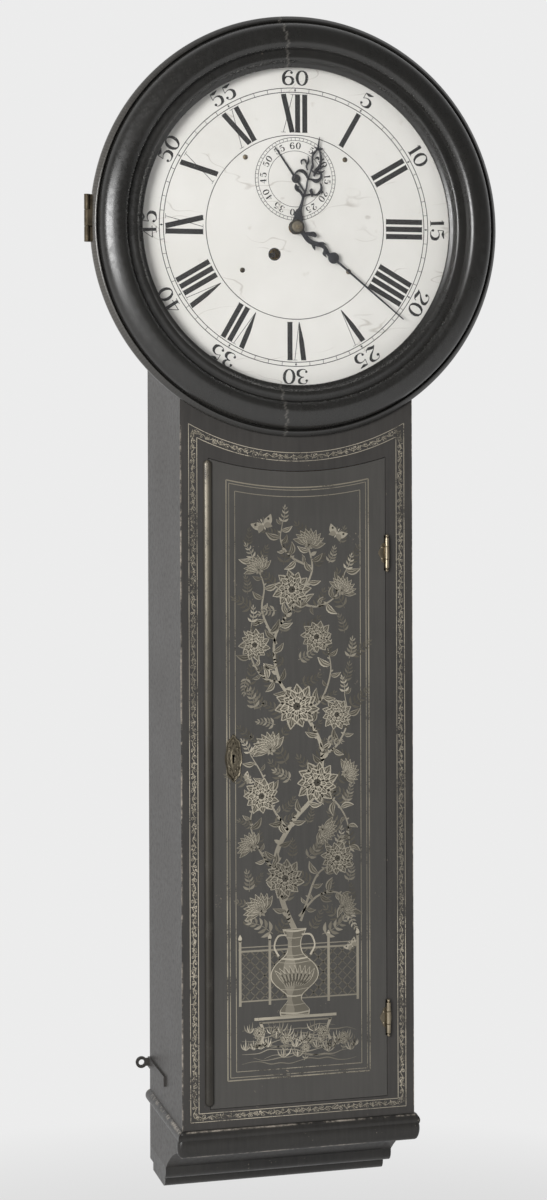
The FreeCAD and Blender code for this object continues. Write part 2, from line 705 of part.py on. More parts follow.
def lock():
    """Rim lock behind the door, its bolt, the keep on the stile and the oval escutcheon."""
    back = "front_thick - door_proud"
    level = "-lock_z"
    case = box("-door_half + 1", "-lock_x + 14", back, back + " + 12", level + " - 22", level + " + 22")
    room = box("-door_half + 2.5", "-lock_x + 12.5", back + " - 1", back + " + 10.5", level + " - 20.5",
               level + " + 20.5")
    slot = box("-door_half - 1", "-door_half + 4", back + " + 3 - bolt_fit", back + " + 8 + bolt_fit",
               level + " - 6 - bolt_fit", level + " + 6 + bolt_fit")
    keep(cut(case, room, slot), "lock_case")
    bolt = box("-door_half + 1", "-lock_x - 4", back + " + 3", back + " + 8", level + " - 6", level + " + 6")
    keep(bolt, "lock_bolt")
    stop = "-door_half - door_fit"
    shell = box(stop + " - 12", stop + " - 2", "front_thick", back + " + 11", level + " - 14", level + " + 14")
    mouth = box(stop + " - 10.5", stop + " - 1", "front_thick + 1", back + " + 9", level + " - 8", level + " + 8")
    keep(cut(shell, mouth), "lock_keep")
    front = -size("door_proud")
    thick = size("escutcheon_thick")
    middle = (-size("lock_x"), -size("lock_z"))
    oval = []
    for k in range(OVAL_SIDES):
        turn = 2 * math.pi * k / OVAL_SIDES
        x = middle[0] + size("escutcheon_wide") / 2 * math.cos(turn)
        oval.append(Vector(x, 0, middle[1] + size("escutcheon_tall") / 2 * math.sin(turn)))
    plate = along_y(polygon(oval), front - thick, front)
    hole = bore(size("key_round"), middle[0], middle[1] + 3, front - thick - 1, front + 1)
    slit = Part.makeBox(2, thick + 2, 9, Vector(middle[0] - 1, front - thick - 1, middle[1] - 6))
    keep(shaped(plate.cut(hole).cut(slit)), "escutcheon")


def wall_lugs():
    """Iron straps on the sides near the foot, each ending in an eye against the wall."""
    for sign, label in (("-", "wall_lug_left"), ("", "wall_lug_right")):
        near = "%s(%s)" % (sign, HALF)
        out = "%s(%s + lug_thick)" % (sign, HALF)
        eye = "%s(%s + lug_out)" % (sign, HALF)
        low, high = ("-lug_z - lug_tall / 2", "-lug_z + lug_tall / 2")
        x_low, x_high = (out, near) if sign else (near, out)
        strap = box(x_low, x_high, WALL + " - lug_long", WALL, low, high)
        e_low, e_high = (eye, near) if sign else (near, eye)
        arm = box(e_low, e_high, WALL + " - lug_thick", WALL, "-lug_z - 5", "-lug_z + 5")
        head = turned_y("lug_eye", eye, "-lug_z", WALL + " - lug_thick", WALL, 18)
        hole = rod_y("lug_hole", eye, "-lug_z", WALL + " - lug_thick - 1", WALL + " + 1")
        inside = "%s(%s)" % (sign, INNER)
        t_low, t_high = (near, inside) if sign else (inside, near)
        trim = box(t_low, t_high, WALL + " - lug_thick - 1", WALL + " + 1", "-lug_z - 12", "-lug_z + 12")
        keep(cut(fuse(strap, arm, head), hole, trim), label)


# Movement

FRONT = size("plate_front")
INSIDE = FRONT + size("plate_thick")
REAR = INSIDE + size("plate_space")
BEHIND = REAR + size("plate_thick")
PLAY = size("pivot_play")
ARBOR = size("arbor_radius")
CENTRE = (0.0, 0.0)
BARREL = (size("wind_x"), size("wind_z"))
THIRD = (10.1, 32.5)
ESCAPE = (0.0, size("seconds_up"))
PALLET = (0.0, size("pallet_up"))
MINUTE = (19.8, -19.8)

GREAT_TEETH = 84
CENTRE_LEAVES = 7
CENTRE_TEETH = 56
THIRD_LEAVES = 7
THIRD_TEETH = 45
ESCAPE_LEAVES = 6
ESCAPE_TEETH = 30
CANNON_LEAVES = 12
MINUTE_TEETH = 36
MINUTE_LEAVES = 10
HOUR_TEETH = 40

ADDENDUM = 0.75
DEDENDUM = 1.15


def module(first, second, teeth, leaves):
    """Tooth size that brings two gears into mesh over a centre distance."""
    return 2 * math.hypot(first[0] - second[0], first[1] - second[1]) / (teeth + leaves)


def bearing(first, second):
    """Direction from one arbor to another, in radians from +X towards +Z."""
    return math.atan2(second[1] - first[1], second[0] - first[0])


def meshed(first, second, teeth, leaves, phase):
    """Phase of the second gear so that its gap meets a tooth of the first."""
    direction = bearing(first, second)
    return direction + math.pi + math.pi / leaves + (direction - phase) * teeth / leaves


def toothed(teeth, step, centre, phase, y_low, y_high):
    """Toothed disc: pointed teeth of the given tooth size, a gap as wide as a tooth and its play."""
    pitch = teeth * step / 2
    points = []
    for k in range(teeth):
        middle = phase + 2 * math.pi * k / teeth
        for radius, angle in ((pitch - DEDENDUM * step, -math.pi / teeth), (pitch + ADDENDUM * step, 0.0)):
            turned_to = middle + angle
            across = centre[0] + radius * math.cos(turned_to)
            points.append(Vector(across, 0, centre[1] + radius * math.sin(turned_to)))
    return along_y(polygon(points), y_low, y_high)


def crossed(blank, centre, hub, rim, arm, y_low, y_high, turn=0.0, sides=16):
    """Cut four openings between hub and rim, leaving four straight arms."""
    opening = bar(rim, centre[0], centre[1], y_low - 1, y_high + 1, sides)
    opening = opening.cut(bar(hub, centre[0], centre[1], y_low - 2, y_high + 2, 8))
    for quarter in (0, 90):
        spoke = Part.makeBox(2 * rim + 4, y_high - y_low + 6, arm, Vector(-rim - 2, y_low - 3, -arm / 2))
        spoke.rotate(Vector(), Vector(0, 1, 0), quarter + turn)
        spoke.translate(Vector(centre[0], 0, centre[1]))
        opening = opening.cut(spoke)
    return blank.cut(opening)


WHEEL = size("wheel_thick")
THIN = 1.6
GREAT_STEP = module(BARREL, CENTRE, GREAT_TEETH, CENTRE_LEAVES)
CENTRE_STEP = module(CENTRE, THIRD, CENTRE_TEETH, THIRD_LEAVES)
THIRD_STEP = module(THIRD, ESCAPE, THIRD_TEETH, ESCAPE_LEAVES)
CANNON_STEP = module(CENTRE, MINUTE, MINUTE_TEETH, CANNON_LEAVES)
HOUR_STEP = module(CENTRE, MINUTE, HOUR_TEETH, MINUTE_LEAVES)

GREAT_Y = 84.0
CENTRE_Y = 36.5
THIRD_Y = 54.0
ESCAPE_Y = 76.0
BARREL_LOW = 42.5
BARREL_HIGH = 79.5
CANNON_Y = 24.0
HOUR_Y = 19.0
STAFF = 1.8
PIPE = 3.4
HOUR_PIPE = 5.0
STRIP_GAP = 0.03


def movement_frame():
    """Front and back plates with pivot holes, four pillars, and the stud of the minute wheel."""
    thick = size("plate_thick")
    half = size("plate_half")
    tall = size("plate_top") + size("plate_bottom")
    front = Part.makeBox(2 * half, thick, tall, Vector(-half, FRONT, -size("plate_bottom")))
    rear = Part.makeBox(2 * half, thick, tall, Vector(-half, REAR, -size("plate_bottom")))
    for centre, radius in ((CENTRE, STAFF), (THIRD, ARBOR), (ESCAPE, STAFF), (PALLET, ARBOR), (BARREL, 4.0)):
        front = front.cut(bore(radius + PLAY, centre[0], centre[1], FRONT - 1, INSIDE + 1))
    for centre, radius in ((CENTRE, STAFF), (THIRD, ARBOR), (ESCAPE, STAFF), (PALLET, ARBOR), (BARREL, 2.5)):
        rear = rear.cut(bore(radius + PLAY, centre[0], centre[1], REAR - 1, BEHIND + 1))
    for x, z in foot_places():
        front = front.cut(bar(size("foot_radius") + PLAY, x, z, FRONT - 1, INSIDE + 1, 8))
    stud = bar(2.0, MINUTE[0], MINUTE[1], 13.0, FRONT)
    collar = bar(3.4, MINUTE[0], MINUTE[1], 12.0, 13.2)
    keep(shaped(front.fuse([stud, collar]).removeSplitter()), "front_plate")
    keep(shaped(rear), "back_plate")
    pillars = []
    for x in (-size("pillar_x"), size("pillar_x")):
        for z in (-size("pillar_z"), size("pillar_z")):
            pillars.append(shaped(bar(size("pillar_radius"), x, z, INSIDE, REAR)))
    keep(group(*pillars), "plate_pillars")


def foot_places():
    """Centres of the four dial feet."""
    places = []
    for sign in (-1, 1):
        places.append((sign * size("foot_high_x"), size("foot_high")))
        places.append((sign * size("foot_low_x"), -size("foot_low")))
    return places


def dial():
    """Dial plate with its holes, and the riveted feet that reach through the front plate."""
    face = size("dial_face")
    back = face + size("dial_thick")
    plate = disc(size("dial_radius"), 0, 0, face, back)
    plate = plate.cut(bore(size("centre_hole"), 0, 0, face - 1, back + 1, 16))
    plate = plate.cut(bore(size("seconds_hole"), 0, size("seconds_up"), face - 1, back + 1))
    plate = plate.cut(disc(size("wind_hole"), BARREL[0], BARREL[1], face - 1, back + 1))
    feet = [shaped(bar(size("foot_radius"), x, z, back, INSIDE + 2, 8)) for x, z in foot_places()]
    keep(shaped(plate), "dial_plate")
    keep(group(*feet), "dial_feet")


def train():
    """Great, centre, third and escape wheels on their arbors, in mesh at rest."""
    great_phase = bearing(BARREL, CENTRE)
    high = GREAT_Y + WHEEL
    great = toothed(GREAT_TEETH, GREAT_STEP, BARREL, great_phase, GREAT_Y, high)
    great = crossed(great, BARREL, 9.0, GREAT_TEETH * GREAT_STEP / 2 - 5, 5.0, GREAT_Y, high)
    great = great.fuse(bar(6.0, BARREL[0], BARREL[1], BARREL_HIGH + 2.0, GREAT_Y))
    keep(shaped(great.cut(bore(2.5 + PLAY, BARREL[0], BARREL[1], GREAT_Y - 5, high + 5))), "great_wheel")

    leaf_phase = meshed(BARREL, CENTRE, GREAT_TEETH, CENTRE_LEAVES, great_phase)
    centre_phase = bearing(CENTRE, THIRD)
    high = CENTRE_Y + WHEEL
    wheel = toothed(CENTRE_TEETH, CENTRE_STEP, CENTRE, centre_phase, CENTRE_Y, high)
    wheel = crossed(wheel, CENTRE, 6.0, CENTRE_TEETH * CENTRE_STEP / 2 - 4, 4.0, CENTRE_Y, high, 20)
    leaves = toothed(CENTRE_LEAVES, GREAT_STEP, CENTRE, leaf_phase, GREAT_Y - 3, GREAT_Y + WHEEL + 3)
    staff = bar(STAFF, 0, 0, -4.5, BEHIND)
    keep(shaped(staff.fuse([wheel, leaves])), "centre_arbor")

    leaf_phase = meshed(CENTRE, THIRD, CENTRE_TEETH, THIRD_LEAVES, centre_phase)
    third_phase = bearing(THIRD, ESCAPE)
    high = THIRD_Y + WHEEL
    wheel = toothed(THIRD_TEETH, THIRD_STEP, THIRD, third_phase, THIRD_Y, high)
    wheel = crossed(wheel, THIRD, 5.5, THIRD_TEETH * THIRD_STEP / 2 - 4, 3.6, THIRD_Y, high, 35)
    leaves = toothed(THIRD_LEAVES, CENTRE_STEP, THIRD, leaf_phase, CENTRE_Y - 2, CENTRE_Y + WHEEL + 3)
    staff = bar(ARBOR, THIRD[0], THIRD[1], FRONT, BEHIND)
    keep(shaped(staff.fuse([wheel, leaves])), "third_arbor")

    leaf_phase = meshed(THIRD, ESCAPE, THIRD_TEETH, ESCAPE_LEAVES, third_phase)
    leaves = toothed(ESCAPE_LEAVES, THIRD_STEP, ESCAPE, leaf_phase, THIRD_Y - 2, THIRD_Y + WHEEL + 3)
    staff = bar(STAFF, ESCAPE[0], ESCAPE[1], 1.0, BEHIND)
    keep(shaped(staff.fuse([escape_wheel(), leaves])), "escape_arbor")


def escape_wheel():
    """Recoil escape wheel: thirty pointed teeth that lean backwards."""
    points = []
    for k in range(ESCAPE_TEETH):
        start = 2 * math.pi * (k + 0.5) / ESCAPE_TEETH
        for radius, angle in ((16.0, start - 0.09), (20.0, start)):
            points.append(Vector(ESCAPE[0] + radius * math.cos(angle), 0, ESCAPE[1] + radius * math.sin(angle)))
    return along_y(polygon(points), ESCAPE_Y, ESCAPE_Y + THIN)


def barrel():
    """Barrel between its cheeks, and the squared winding arbor that reaches the dial."""
    radius = size("barrel_radius")
    low, high = BARREL_LOW, BARREL_HIGH
    steps = [
        (low - 2.5, radius + 4.5),
        (low, radius + 4.5),
        (low, radius),
        (high, radius),
        (high, radius + 4.5),
        (high + 1.5, radius + 4.5),
    ]
    body = fused_steps(steps, BARREL, 20)
    staff = bar(4.0, BARREL[0], BARREL[1], 26.5, low - 2.5)
    rear = bar(2.5, BARREL[0], BARREL[1], high + 1.5, BEHIND)
    square = Part.makeBox(5.0, 14.0, 5.0, Vector(BARREL[0] - 2.5, 12.5, BARREL[1] - 2.5))
    keep(shaped(body.fuse([staff, rear, square])), "winding_barrel")


def fused_steps(steps, centre, sides):
    """Stepped turned bar along Y from pairs of (distance, radius)."""
    bars = []
    for first, second in zip(steps[::2], steps[1::2]):
        bars.append(bar(first[1], centre[0], centre[1], first[0], second[0], sides))
    return bars[0].fuse(bars[1:])


def motion_work():
    """Cannon pinion, minute wheel with its pinion, and hour wheel, between dial and front plate."""
    phase = bearing(CENTRE, MINUTE)
    high = CANNON_Y + THIN + 1
    leaves = toothed(CANNON_LEAVES, CANNON_STEP, CENTRE, phase, CANNON_Y - 1, high)
    pipe = bar(PIPE, 0, 0, -2.4, high)
    keep(shaped(leaves.fuse(pipe).cut(bore(STAFF + PLAY, 0, 0, -5.0, high + 1))), "cannon_pinion")
    other = meshed(CENTRE, MINUTE, CANNON_LEAVES, MINUTE_TEETH, phase)
    wheel = toothed(MINUTE_TEETH, CANNON_STEP, MINUTE, other, CANNON_Y, CANNON_Y + THIN)
    leaf_phase = bearing(MINUTE, CENTRE)
    leaves = toothed(MINUTE_LEAVES, HOUR_STEP, MINUTE, leaf_phase, HOUR_Y - 1.5, CANNON_Y)
    hole = bore(2.0 + PLAY, MINUTE[0], MINUTE[1], 10, CANNON_Y + 5)
    keep(shaped(wheel.fuse(leaves).cut(hole)), "minute_wheel")
    hour_phase = meshed(MINUTE, CENTRE, MINUTE_LEAVES, HOUR_TEETH, leaf_phase)
    wheel = toothed(HOUR_TEETH, HOUR_STEP, CENTRE, hour_phase, HOUR_Y, HOUR_Y + THIN)
    pipe = bar(HOUR_PIPE, 0, 0, 0.9, HOUR_Y + THIN)
    keep(shaped(wheel.fuse(pipe).cut(bore(PIPE + PLAY, 0, 0, -1, HOUR_Y + 5))), "hour_wheel")


def bow(x, y, radius, wide, first, last, sides=8):
    """Flat curved bar drawn pointing up: part of a ring, angles anticlockwise in degrees."""
    points = []
    for reach, order in ((radius + wide / 2, range(sides + 1)), (radius - wide / 2, range(sides, -1, -1))):
        for k in order:
            angle = math.radians(first + (last - first) * k / sides)
            points.append(Vector(x + reach * math.cos(angle), 0, y + reach * math.sin(angle)))
    return points


def flat(points):
    return [Vector(x, 0, y) for x, y in points]


def knob(x, y, radius, sides=16):
    return ring_points(radius, x, y, sides)


def hand(outlines, grow, hole, angle, y_low, y_high, centre=(0, 0)):
    """Hand joined from flat outlines drawn pointing up, enlarged, turned clockwise and bored."""
    solids = []
    for points in outlines:
        larger = [Vector(point.x * grow, 0, point.z * grow) for point in points]
        solids.append(along_y(polygon(larger), y_low, y_high))
    joined = solids[0].fuse(solids[1:]).removeSplitter()
    joined.rotate(Vector(), Vector(0, 1, 0), angle)
    joined.translate(Vector(centre[0], 0, centre[1]))
    return joined.cut(bore(hole, centre[0], centre[1], y_low - 1, y_high + 1))


MINUTE_DRAWN = 180.0
HOUR_DRAWN = 117.0
SECONDS_DRAWN = 48.0


def hands():
    """Pierced hour hand, long minute hand with its scrolled root, seconds hand and the collet."""
    tip = MINUTE_DRAWN
    outlines = [
        knob(0, 0, 9.0),
        bow(-8.0, 17.0, 14.0, 4.4, -62, 44),
        bow(9.0, 37.0, 9.5, 3.6, 140, 235),
        bow(-3.8, 46.0, 6.0, 3.0, -80, 75),
        flat([(1.2, 28), (-9.5, 22.5), (0.5, 22)]),
        flat([(3.5, 33), (9.0, 36.5), (2.5, 38)]),
        knob(0.0, 60.0, 7.2, 24),
        flat([(-1.6, 50), (1.6, 50), (1.2, 66), (0.4, tip), (-0.4, tip), (-1.2, 66)]),
    ]
    grow = size("minute_long") / tip
    keep(shaped(hand(outlines, grow, PIPE, size("minute_angle"), -1.4, -0.4)), "minute_hand")
    tip = HOUR_DRAWN
    outlines = [
        knob(0, 0, 9.0),
        flat([(-4.6, 5), (4.6, 5), (3.4, 18), (1.3, 41), (-1.3, 41), (-3.4, 18)]),
        flat([(-1.2, 39), (1.2, 39), (0.9, 92), (-0.9, 92)]),
        flat([(-1.5, 106), (1.5, 106), (0.3, tip), (-0.3, tip)]),
        bow(-8.2, 47.0, 8.4, 2.2, -20, 190),
        bow(9.2, 49.0, 8.6, 2.2, -10, 205),
        bow(-7.2, 68.0, 7.2, 2.0, -40, 150),
        bow(7.6, 70.0, 7.4, 2.0, 10, 225),
        bow(13.6, 99.0, 15.4, 1.8, 152, 218),
        bow(-13.6, 99.0, 15.4, 1.8, -38, 28),
        flat([(-2.0, 90), (-7.0, 96.5), (-2.4, 95)]),
        flat([(2.0, 90), (7.0, 96.5), (2.4, 95)]),
        knob(-16.2, 45.0, 2.6, 10),
        knob(17.4, 47.0, 2.6, 10),
    ]
    grow = size("hour_long") / tip
    keep(shaped(hand(outlines, grow, HOUR_PIPE, size("hour_angle"), 1.0, 2.0)), "hour_hand")
    tip = SECONDS_DRAWN
    outlines = [
        knob(0, 0, 5.6),
        flat([(-1.3, 3), (1.3, 3), (0.4, tip), (-0.4, tip)]),
        flat([(-0.8, -21), (0.8, -21), (1.6, -3), (-1.6, -3)]),
    ]
    grow = size("seconds_long") / tip
    keep(shaped(hand(outlines, grow, STAFF, size("seconds_angle"), 3.0, 3.8, ESCAPE)), "seconds_hand")
    cap = spun([(-1.5, 9.4), (-2.6, 9.4), (-3.9, 5.8)], 0, 0, 0, "y", 24)
    keep(shaped(cap.cut(bore(STAFF + PLAY, 0, 0, -6, 1)).cut(bore(PIPE, 0, 0, -2.45, 1))), "hand_collet")


def escapement():
    """Anchor, its arbor and crutch, and the back cock that carries arbor and pendulum."""
    x, z = PALLET
    low = ESCAPE_Y - 0.6
    high = low + 2.8
    arm = 15.6
    anchor = along_y(
        polygon(
            flat(
                [
                    (x - 4.0, z + 3.5),
                    (x + 4.0, z + 3.5),
                    (x + arm + 3.4, z - 11.0),
                    (x + arm + 1.8, z - 17.4),
                    (x + arm - 2.4, z - 13.2),
                    (x, z - 3.6),
                    (x - arm + 2.4, z - 13.2),
                    (x - arm - 1.8, z - 17.4),
                    (x - arm - 3.4, z - 11.0),
                ]
            )
        ),
        low,
        high,
    )
    anchor = anchor.cut(bar(20.0 + 1.5, ESCAPE[0], ESCAPE[1], low - 1, high + 1, 48))
    staff = bar(ARBOR, x, z, FRONT, 106.5)
    wide = size("crutch_wide")
    deep = BEHIND + 2.5
    foot = z - size("crutch_long")
    crutch = Part.makeBox(wide, size("crutch_thick"), size("crutch_long"), Vector(x - wide / 2, deep, foot))
    rod = size("rod_radius") + 0.2
    y_rod = size("pendulum_y")
    fork = Part.makeBox(2 * rod + 5, y_rod + 4 - deep, 4.0, Vector(x - rod - 2.5, deep, foot))
    slot = Part.makeBox(2 * rod, 40, 6.0, Vector(x - rod, y_rod - size("rod_radius") - 3, foot - 1))
    keep(shaped(anchor.fuse([staff, crutch, fork.cut(slot)])), "pallet_anchor")
    top = size("plate_top")
    cheeks = [
        Part.makeBox(8, 8.5, 22, Vector(-22, BEHIND, top - 26)),
        Part.makeBox(8, 8.5, 22, Vector(14, BEHIND, top - 26)),
    ]
    bridge = Part.makeBox(44, 2.5, 22, Vector(-22, BEHIND + 8.5, top - 26))
    bridge = bridge.cut(bore(ARBOR + PLAY, x, z, BEHIND, BEHIND + 12))
    brow = Part.makeBox(16, y_rod + 6 - BEHIND - 11, 8, Vector(-8, BEHIND + 11, z + STRIP_GAP))
    keep(shaped(cheeks[0].fuse([cheeks[1], bridge, brow])), "back_cock")


def pendulum():
    """Seconds pendulum: suspension strip and rod, lens bob and rating nut."""
    x, z = PALLET
    y = size("pendulum_y")
    long = size("pendulum_long")
    rod = size("rod_radius")
    bob = size("bob_radius")
    half = size("bob_thick") / 2
    strip = Part.makeBox(0.4, 8.0, 11.0, Vector(x - 0.2, y - 4, z - 11))
    block = Part.makeBox(6, 6, 8, Vector(x - 3, y - 3, z - 17))
    shaft = spun([(-long - bob - 18, rod), (-16, rod)], x, y, z, "z", 12)
    keep(shaped(strip.fuse([block, shaft])), "pendulum_rod")
    level = z - long
    steps = [(-half, bob * 0.3), (-half * 0.82, bob * 0.62), (-2.0, bob), (2.0, bob),
             (half * 0.82, bob * 0.62), (half, bob * 0.3)]
    lens = spun(steps, x, y, level, "y", 28)
    hole = spun([(-bob - 5, (rod + PLAY) / math.cos(math.pi / 12)), (bob + 5, (rod + PLAY) / math.cos(math.pi / 12))],
                x, y, level, "z", 12)
    keep(shaped(lens.cut(hole)), "pendulum_bob")
    low = level - bob - 6.2
    nut = spun([(0, 8.0), (6.0, 8.0)], x, y, low, "z", 20)
    hole = spun([(-1, (rod + PLAY) / math.cos(math.pi / 12)), (7, (rod + PLAY) / math.cos(math.pi / 12))],
                x, y, low, "z", 12)
    keep(shaped(nut.cut(hole)), "rating_nut")


def weight_gear():
    """Gut falls, pulley in its frame and the driving weight, with the weight run down."""
    pulley = size("pulley_radius")
    gut = size("gut_radius")
    y = (BARREL_LOW + BARREL_HIGH) / 2
    left = BARREL[0] - size("barrel_radius") - gut
    right = left + 2 * pulley
    x = left + pulley
    level = -size("pulley_low")
    seat = -size("plate_bottom")
    falls = [
        shaped(spun([(0, gut), (BARREL[1] - level, gut)], left, y, level, "z", 8)),
        shaped(spun([(0, gut), (seat - level, gut)], right, y, level, "z", 8)),
    ]
    keep(group(*falls), "gut_falls")
    rings = []
    for k in range(13):
        angle = math.pi * (1 + k / 12)
        points = []
        for corner in range(6):
            turn = math.pi * corner / 3
            reach = pulley + gut * math.cos(turn)
            across = x + reach * math.cos(angle)
            points.append(Vector(across, y + gut * math.sin(turn), level + reach * math.sin(angle)))
        rings.append(points)
    keep(shaped(skinned(rings)), "gut_loop")
    seatring = pulley - gut - 0.3
    sheave = spun([(-3, pulley + 3), (-2.2, pulley + 3), (-0.75, seatring), (0.75, seatring), (2.2, pulley + 3),
                   (3, pulley + 3)], x, y, level, "y", 28)
    keep(shaped(sheave.cut(bore(2.5 + PLAY, x, level, y - 9, y + 9))), "pulley")
    axle = bar(2.5, x, level, y - 6, y + 6)
    frame = [
        Part.makeBox(9, 2, 38, Vector(x - 4.5, y - 6, level - 34)),
        Part.makeBox(9, 2, 38, Vector(x - 4.5, y + 4, level - 34)),
        Part.makeBox(9, 12, 3, Vector(x - 4.5, y - 6, level - 36)),
        spun([(-size("weight_drop"), 3.0), (-35, 3.0)], x, y, level, "z", 12),
    ]
    keep(shaped(axle.fuse(frame)), "pulley_frame")
    radius = size("weight_radius")
    tall = size("weight_tall")
    top = level - size("weight_drop")
    steps = [(-tall, radius - 3), (-tall + 3, radius), (-9, radius), (0, radius * 0.55)]
    keep(shaped(spun(steps, x, y, top, "z", 28)), "driving_weight")


def seatboard():
    """Seatboard with openings for the gut, and the two cheeks that carry it."""
    seat = -size("plate_bottom")
    thick = size("seat_thick")
    inner = size("trunk_width") / 2 - size("side_thick")
    front = size("plate_front") - 6
    back = size("seat_back")
    board = Part.makeBox(2 * inner, back - front, thick, Vector(-inner, front, seat - thick))
    y = (BARREL_LOW + BARREL_HIGH) / 2
    left = BARREL[0] - size("barrel_radius") - size("gut_radius")
    room = Part.makeBox(12, 44, thick + 2, Vector(left - 6, y - 22, seat - thick - 1))
    hole = spun([(0, size("gut_radius") + 0.15), (thick + 2, size("gut_radius") + 0.15)],
                left + 2 * size("pulley_radius"), y, seat - thick - 1, "z", 8)
    keep(shaped(board.cut(room).cut(hole)), "seatboard")
    cheeks = []
    for x in (-inner, inner - 16):
        cheeks.append(shaped(Part.makeBox(16, back - front, 60, Vector(x, front, seat - thick - 60))))
    keep(group(*cheeks), "seatboard_cheeks")


case_sides()
case_back()
front_frame()
base_mouldings()
hood_ring()
bezel()
bezel_hinge()
door()
door_hinges()
lock()
wall_lugs()
movement_frame()
dial()
train()
barrel()
motion_work()
hands()
escapement()
pendulum()
weight_gear()
seatboard()

doc.recompute()
faults = [item.Name for item in doc.Objects if "Invalid" in item.State or "Error" in item.State]
for item in kept:
    if item.Shape.isNull() or not item.Shape.isValid() or not item.Shape.Solids:
        faults.append(item.Label)
if faults:
    raise SystemExit("pieces that failed: " + ", ".join(faults))

os.makedirs("parts", exist_ok=True)
for item in kept:
    item.Shape.exportStep(os.path.join("parts", item.Label + ".step"))
print(len(kept), "pieces written")
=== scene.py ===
"""Looks of a wall-hung tavern clock: black japanned case, moulded bezel, painted dial and door.

Shapes are worked out in millimetres in the dial frame (X right, Y into the wall with 0 on the front
of the trunk, Z up with 0 at the dial centre) and then placed by the positions of the CAD nodes.
"""

import math

import bmesh
import bpy
import numpy as np
from mathutils import Matrix, Vector


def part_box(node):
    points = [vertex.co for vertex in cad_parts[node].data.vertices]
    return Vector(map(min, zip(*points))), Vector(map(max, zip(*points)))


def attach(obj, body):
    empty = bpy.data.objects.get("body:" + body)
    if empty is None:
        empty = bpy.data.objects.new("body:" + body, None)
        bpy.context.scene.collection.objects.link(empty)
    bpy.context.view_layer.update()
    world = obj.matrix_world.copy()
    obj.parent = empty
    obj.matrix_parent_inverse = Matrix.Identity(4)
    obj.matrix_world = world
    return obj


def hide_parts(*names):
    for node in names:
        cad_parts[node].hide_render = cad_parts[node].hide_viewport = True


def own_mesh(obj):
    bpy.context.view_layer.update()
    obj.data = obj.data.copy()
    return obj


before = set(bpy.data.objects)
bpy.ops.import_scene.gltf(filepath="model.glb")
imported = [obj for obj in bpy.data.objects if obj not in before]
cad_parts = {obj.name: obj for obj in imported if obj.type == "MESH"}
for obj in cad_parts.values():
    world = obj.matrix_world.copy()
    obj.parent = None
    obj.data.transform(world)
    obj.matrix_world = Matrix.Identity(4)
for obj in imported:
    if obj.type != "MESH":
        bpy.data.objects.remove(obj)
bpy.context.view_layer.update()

DIAL_LOW, DIAL_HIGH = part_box("dial_plate")
TRUNK_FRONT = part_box("front_stile_left")[0].y
DIAL_CENTRE = np.array([(DIAL_LOW.x + DIAL_HIGH.x) / 2, TRUNK_FRONT, (DIAL_LOW.z + DIAL_HIGH.z) / 2])
DIAL_FACE = 6.0
DOOR_FACE = -0.3
chance = np.random.default_rng(7)


# Surfaces


class Surface:
    """Points, faces and a tone for each point, gathered from several shapes."""

    def __init__(self):
        self.points = []
        self.tones = []
        self.faces = []
        self.count = 0

    def add(self, points, faces, tone=1.0):
        points = np.asarray(points, float)
        self.points.append(points)
        self.tones.append(np.full(len(points), tone))
        self.faces += [np.asarray(block, int) + self.count for block in faces]
        self.count += len(points)


def box_in_millimetres(node):
    """Lowest and highest corner of a CAD node in the dial frame."""
    return [(np.array(corner) - DIAL_CENTRE) * 1000 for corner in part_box(node)]


def make(name, surface, body, material, closed=True, sharp=35, replaces=()):
    """Mesh object from a surface, with one material, riding on a body."""
    points = np.concatenate(surface.points) / 1000 + DIAL_CENTRE
    mesh = bpy.data.meshes.new(name)
    mesh.vertices.add(len(points))
    mesh.vertices.foreach_set("co", points.ravel())
    corners = np.concatenate([block.ravel() for block in surface.faces])
    sizes = np.concatenate([np.full(len(block), block.shape[1]) for block in surface.faces])
    mesh.loops.add(len(corners))
    mesh.loops.foreach_set("vertex_index", corners)
    mesh.polygons.add(len(sizes))
    mesh.polygons.foreach_set("loop_start", np.concatenate([[0], np.cumsum(sizes)[:-1]]))
    mesh.update(calc_edges=True)
    mesh.validate()
    tone = mesh.attributes.new("tone", "FLOAT", "POINT")
    tone.data.foreach_set("value", np.concatenate(surface.tones).astype(np.float32))
    turn_faces(mesh, closed)
    mesh.shade_smooth()
    mesh.set_sharp_from_angle(angle=math.radians(sharp))
    piece = bpy.data.objects.new(name, mesh)
    bpy.context.scene.collection.objects.link(piece)
    mesh.materials.append(material)
    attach(piece, body)
    if replaces:
        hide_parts(*replaces)
    return piece


def turn_faces(mesh, closed):
    """Faces of closed shells turned to look out, and those of flat painted shapes to look forwards."""
    normals = np.zeros(len(mesh.polygons) * 3, np.float32)
    mesh.polygons.foreach_get("normal", normals)
    work = bmesh.new()
    work.from_mesh(mesh)
    work.faces.ensure_lookup_table()
    if closed:
        bmesh.ops.recalc_face_normals(work, faces=work.faces)
    else:
        backs = np.nonzero(normals.reshape(-1, 3)[:, 1] > 0)[0]
        bmesh.ops.reverse_faces(work, faces=[work.faces[index] for index in backs])
    work.to_mesh(mesh)
    work.free()


def grid(rows, columns, wrap_rows=False, wrap_columns=False):
    """Quads between neighbouring rows and columns of a grid numbered row by row."""
    down = np.arange(rows if wrap_rows else rows - 1)
    over = np.arange(columns if wrap_columns else columns - 1)
    row, column = np.meshgrid(down, over, indexing="ij")
    next_row = (row + 1) % rows
    next_column = (column + 1) % columns
    quads = [row * columns + column, next_row * columns + column,
             next_row * columns + next_column, row * columns + next_column]
    return np.stack([part.ravel() for part in quads], 1)


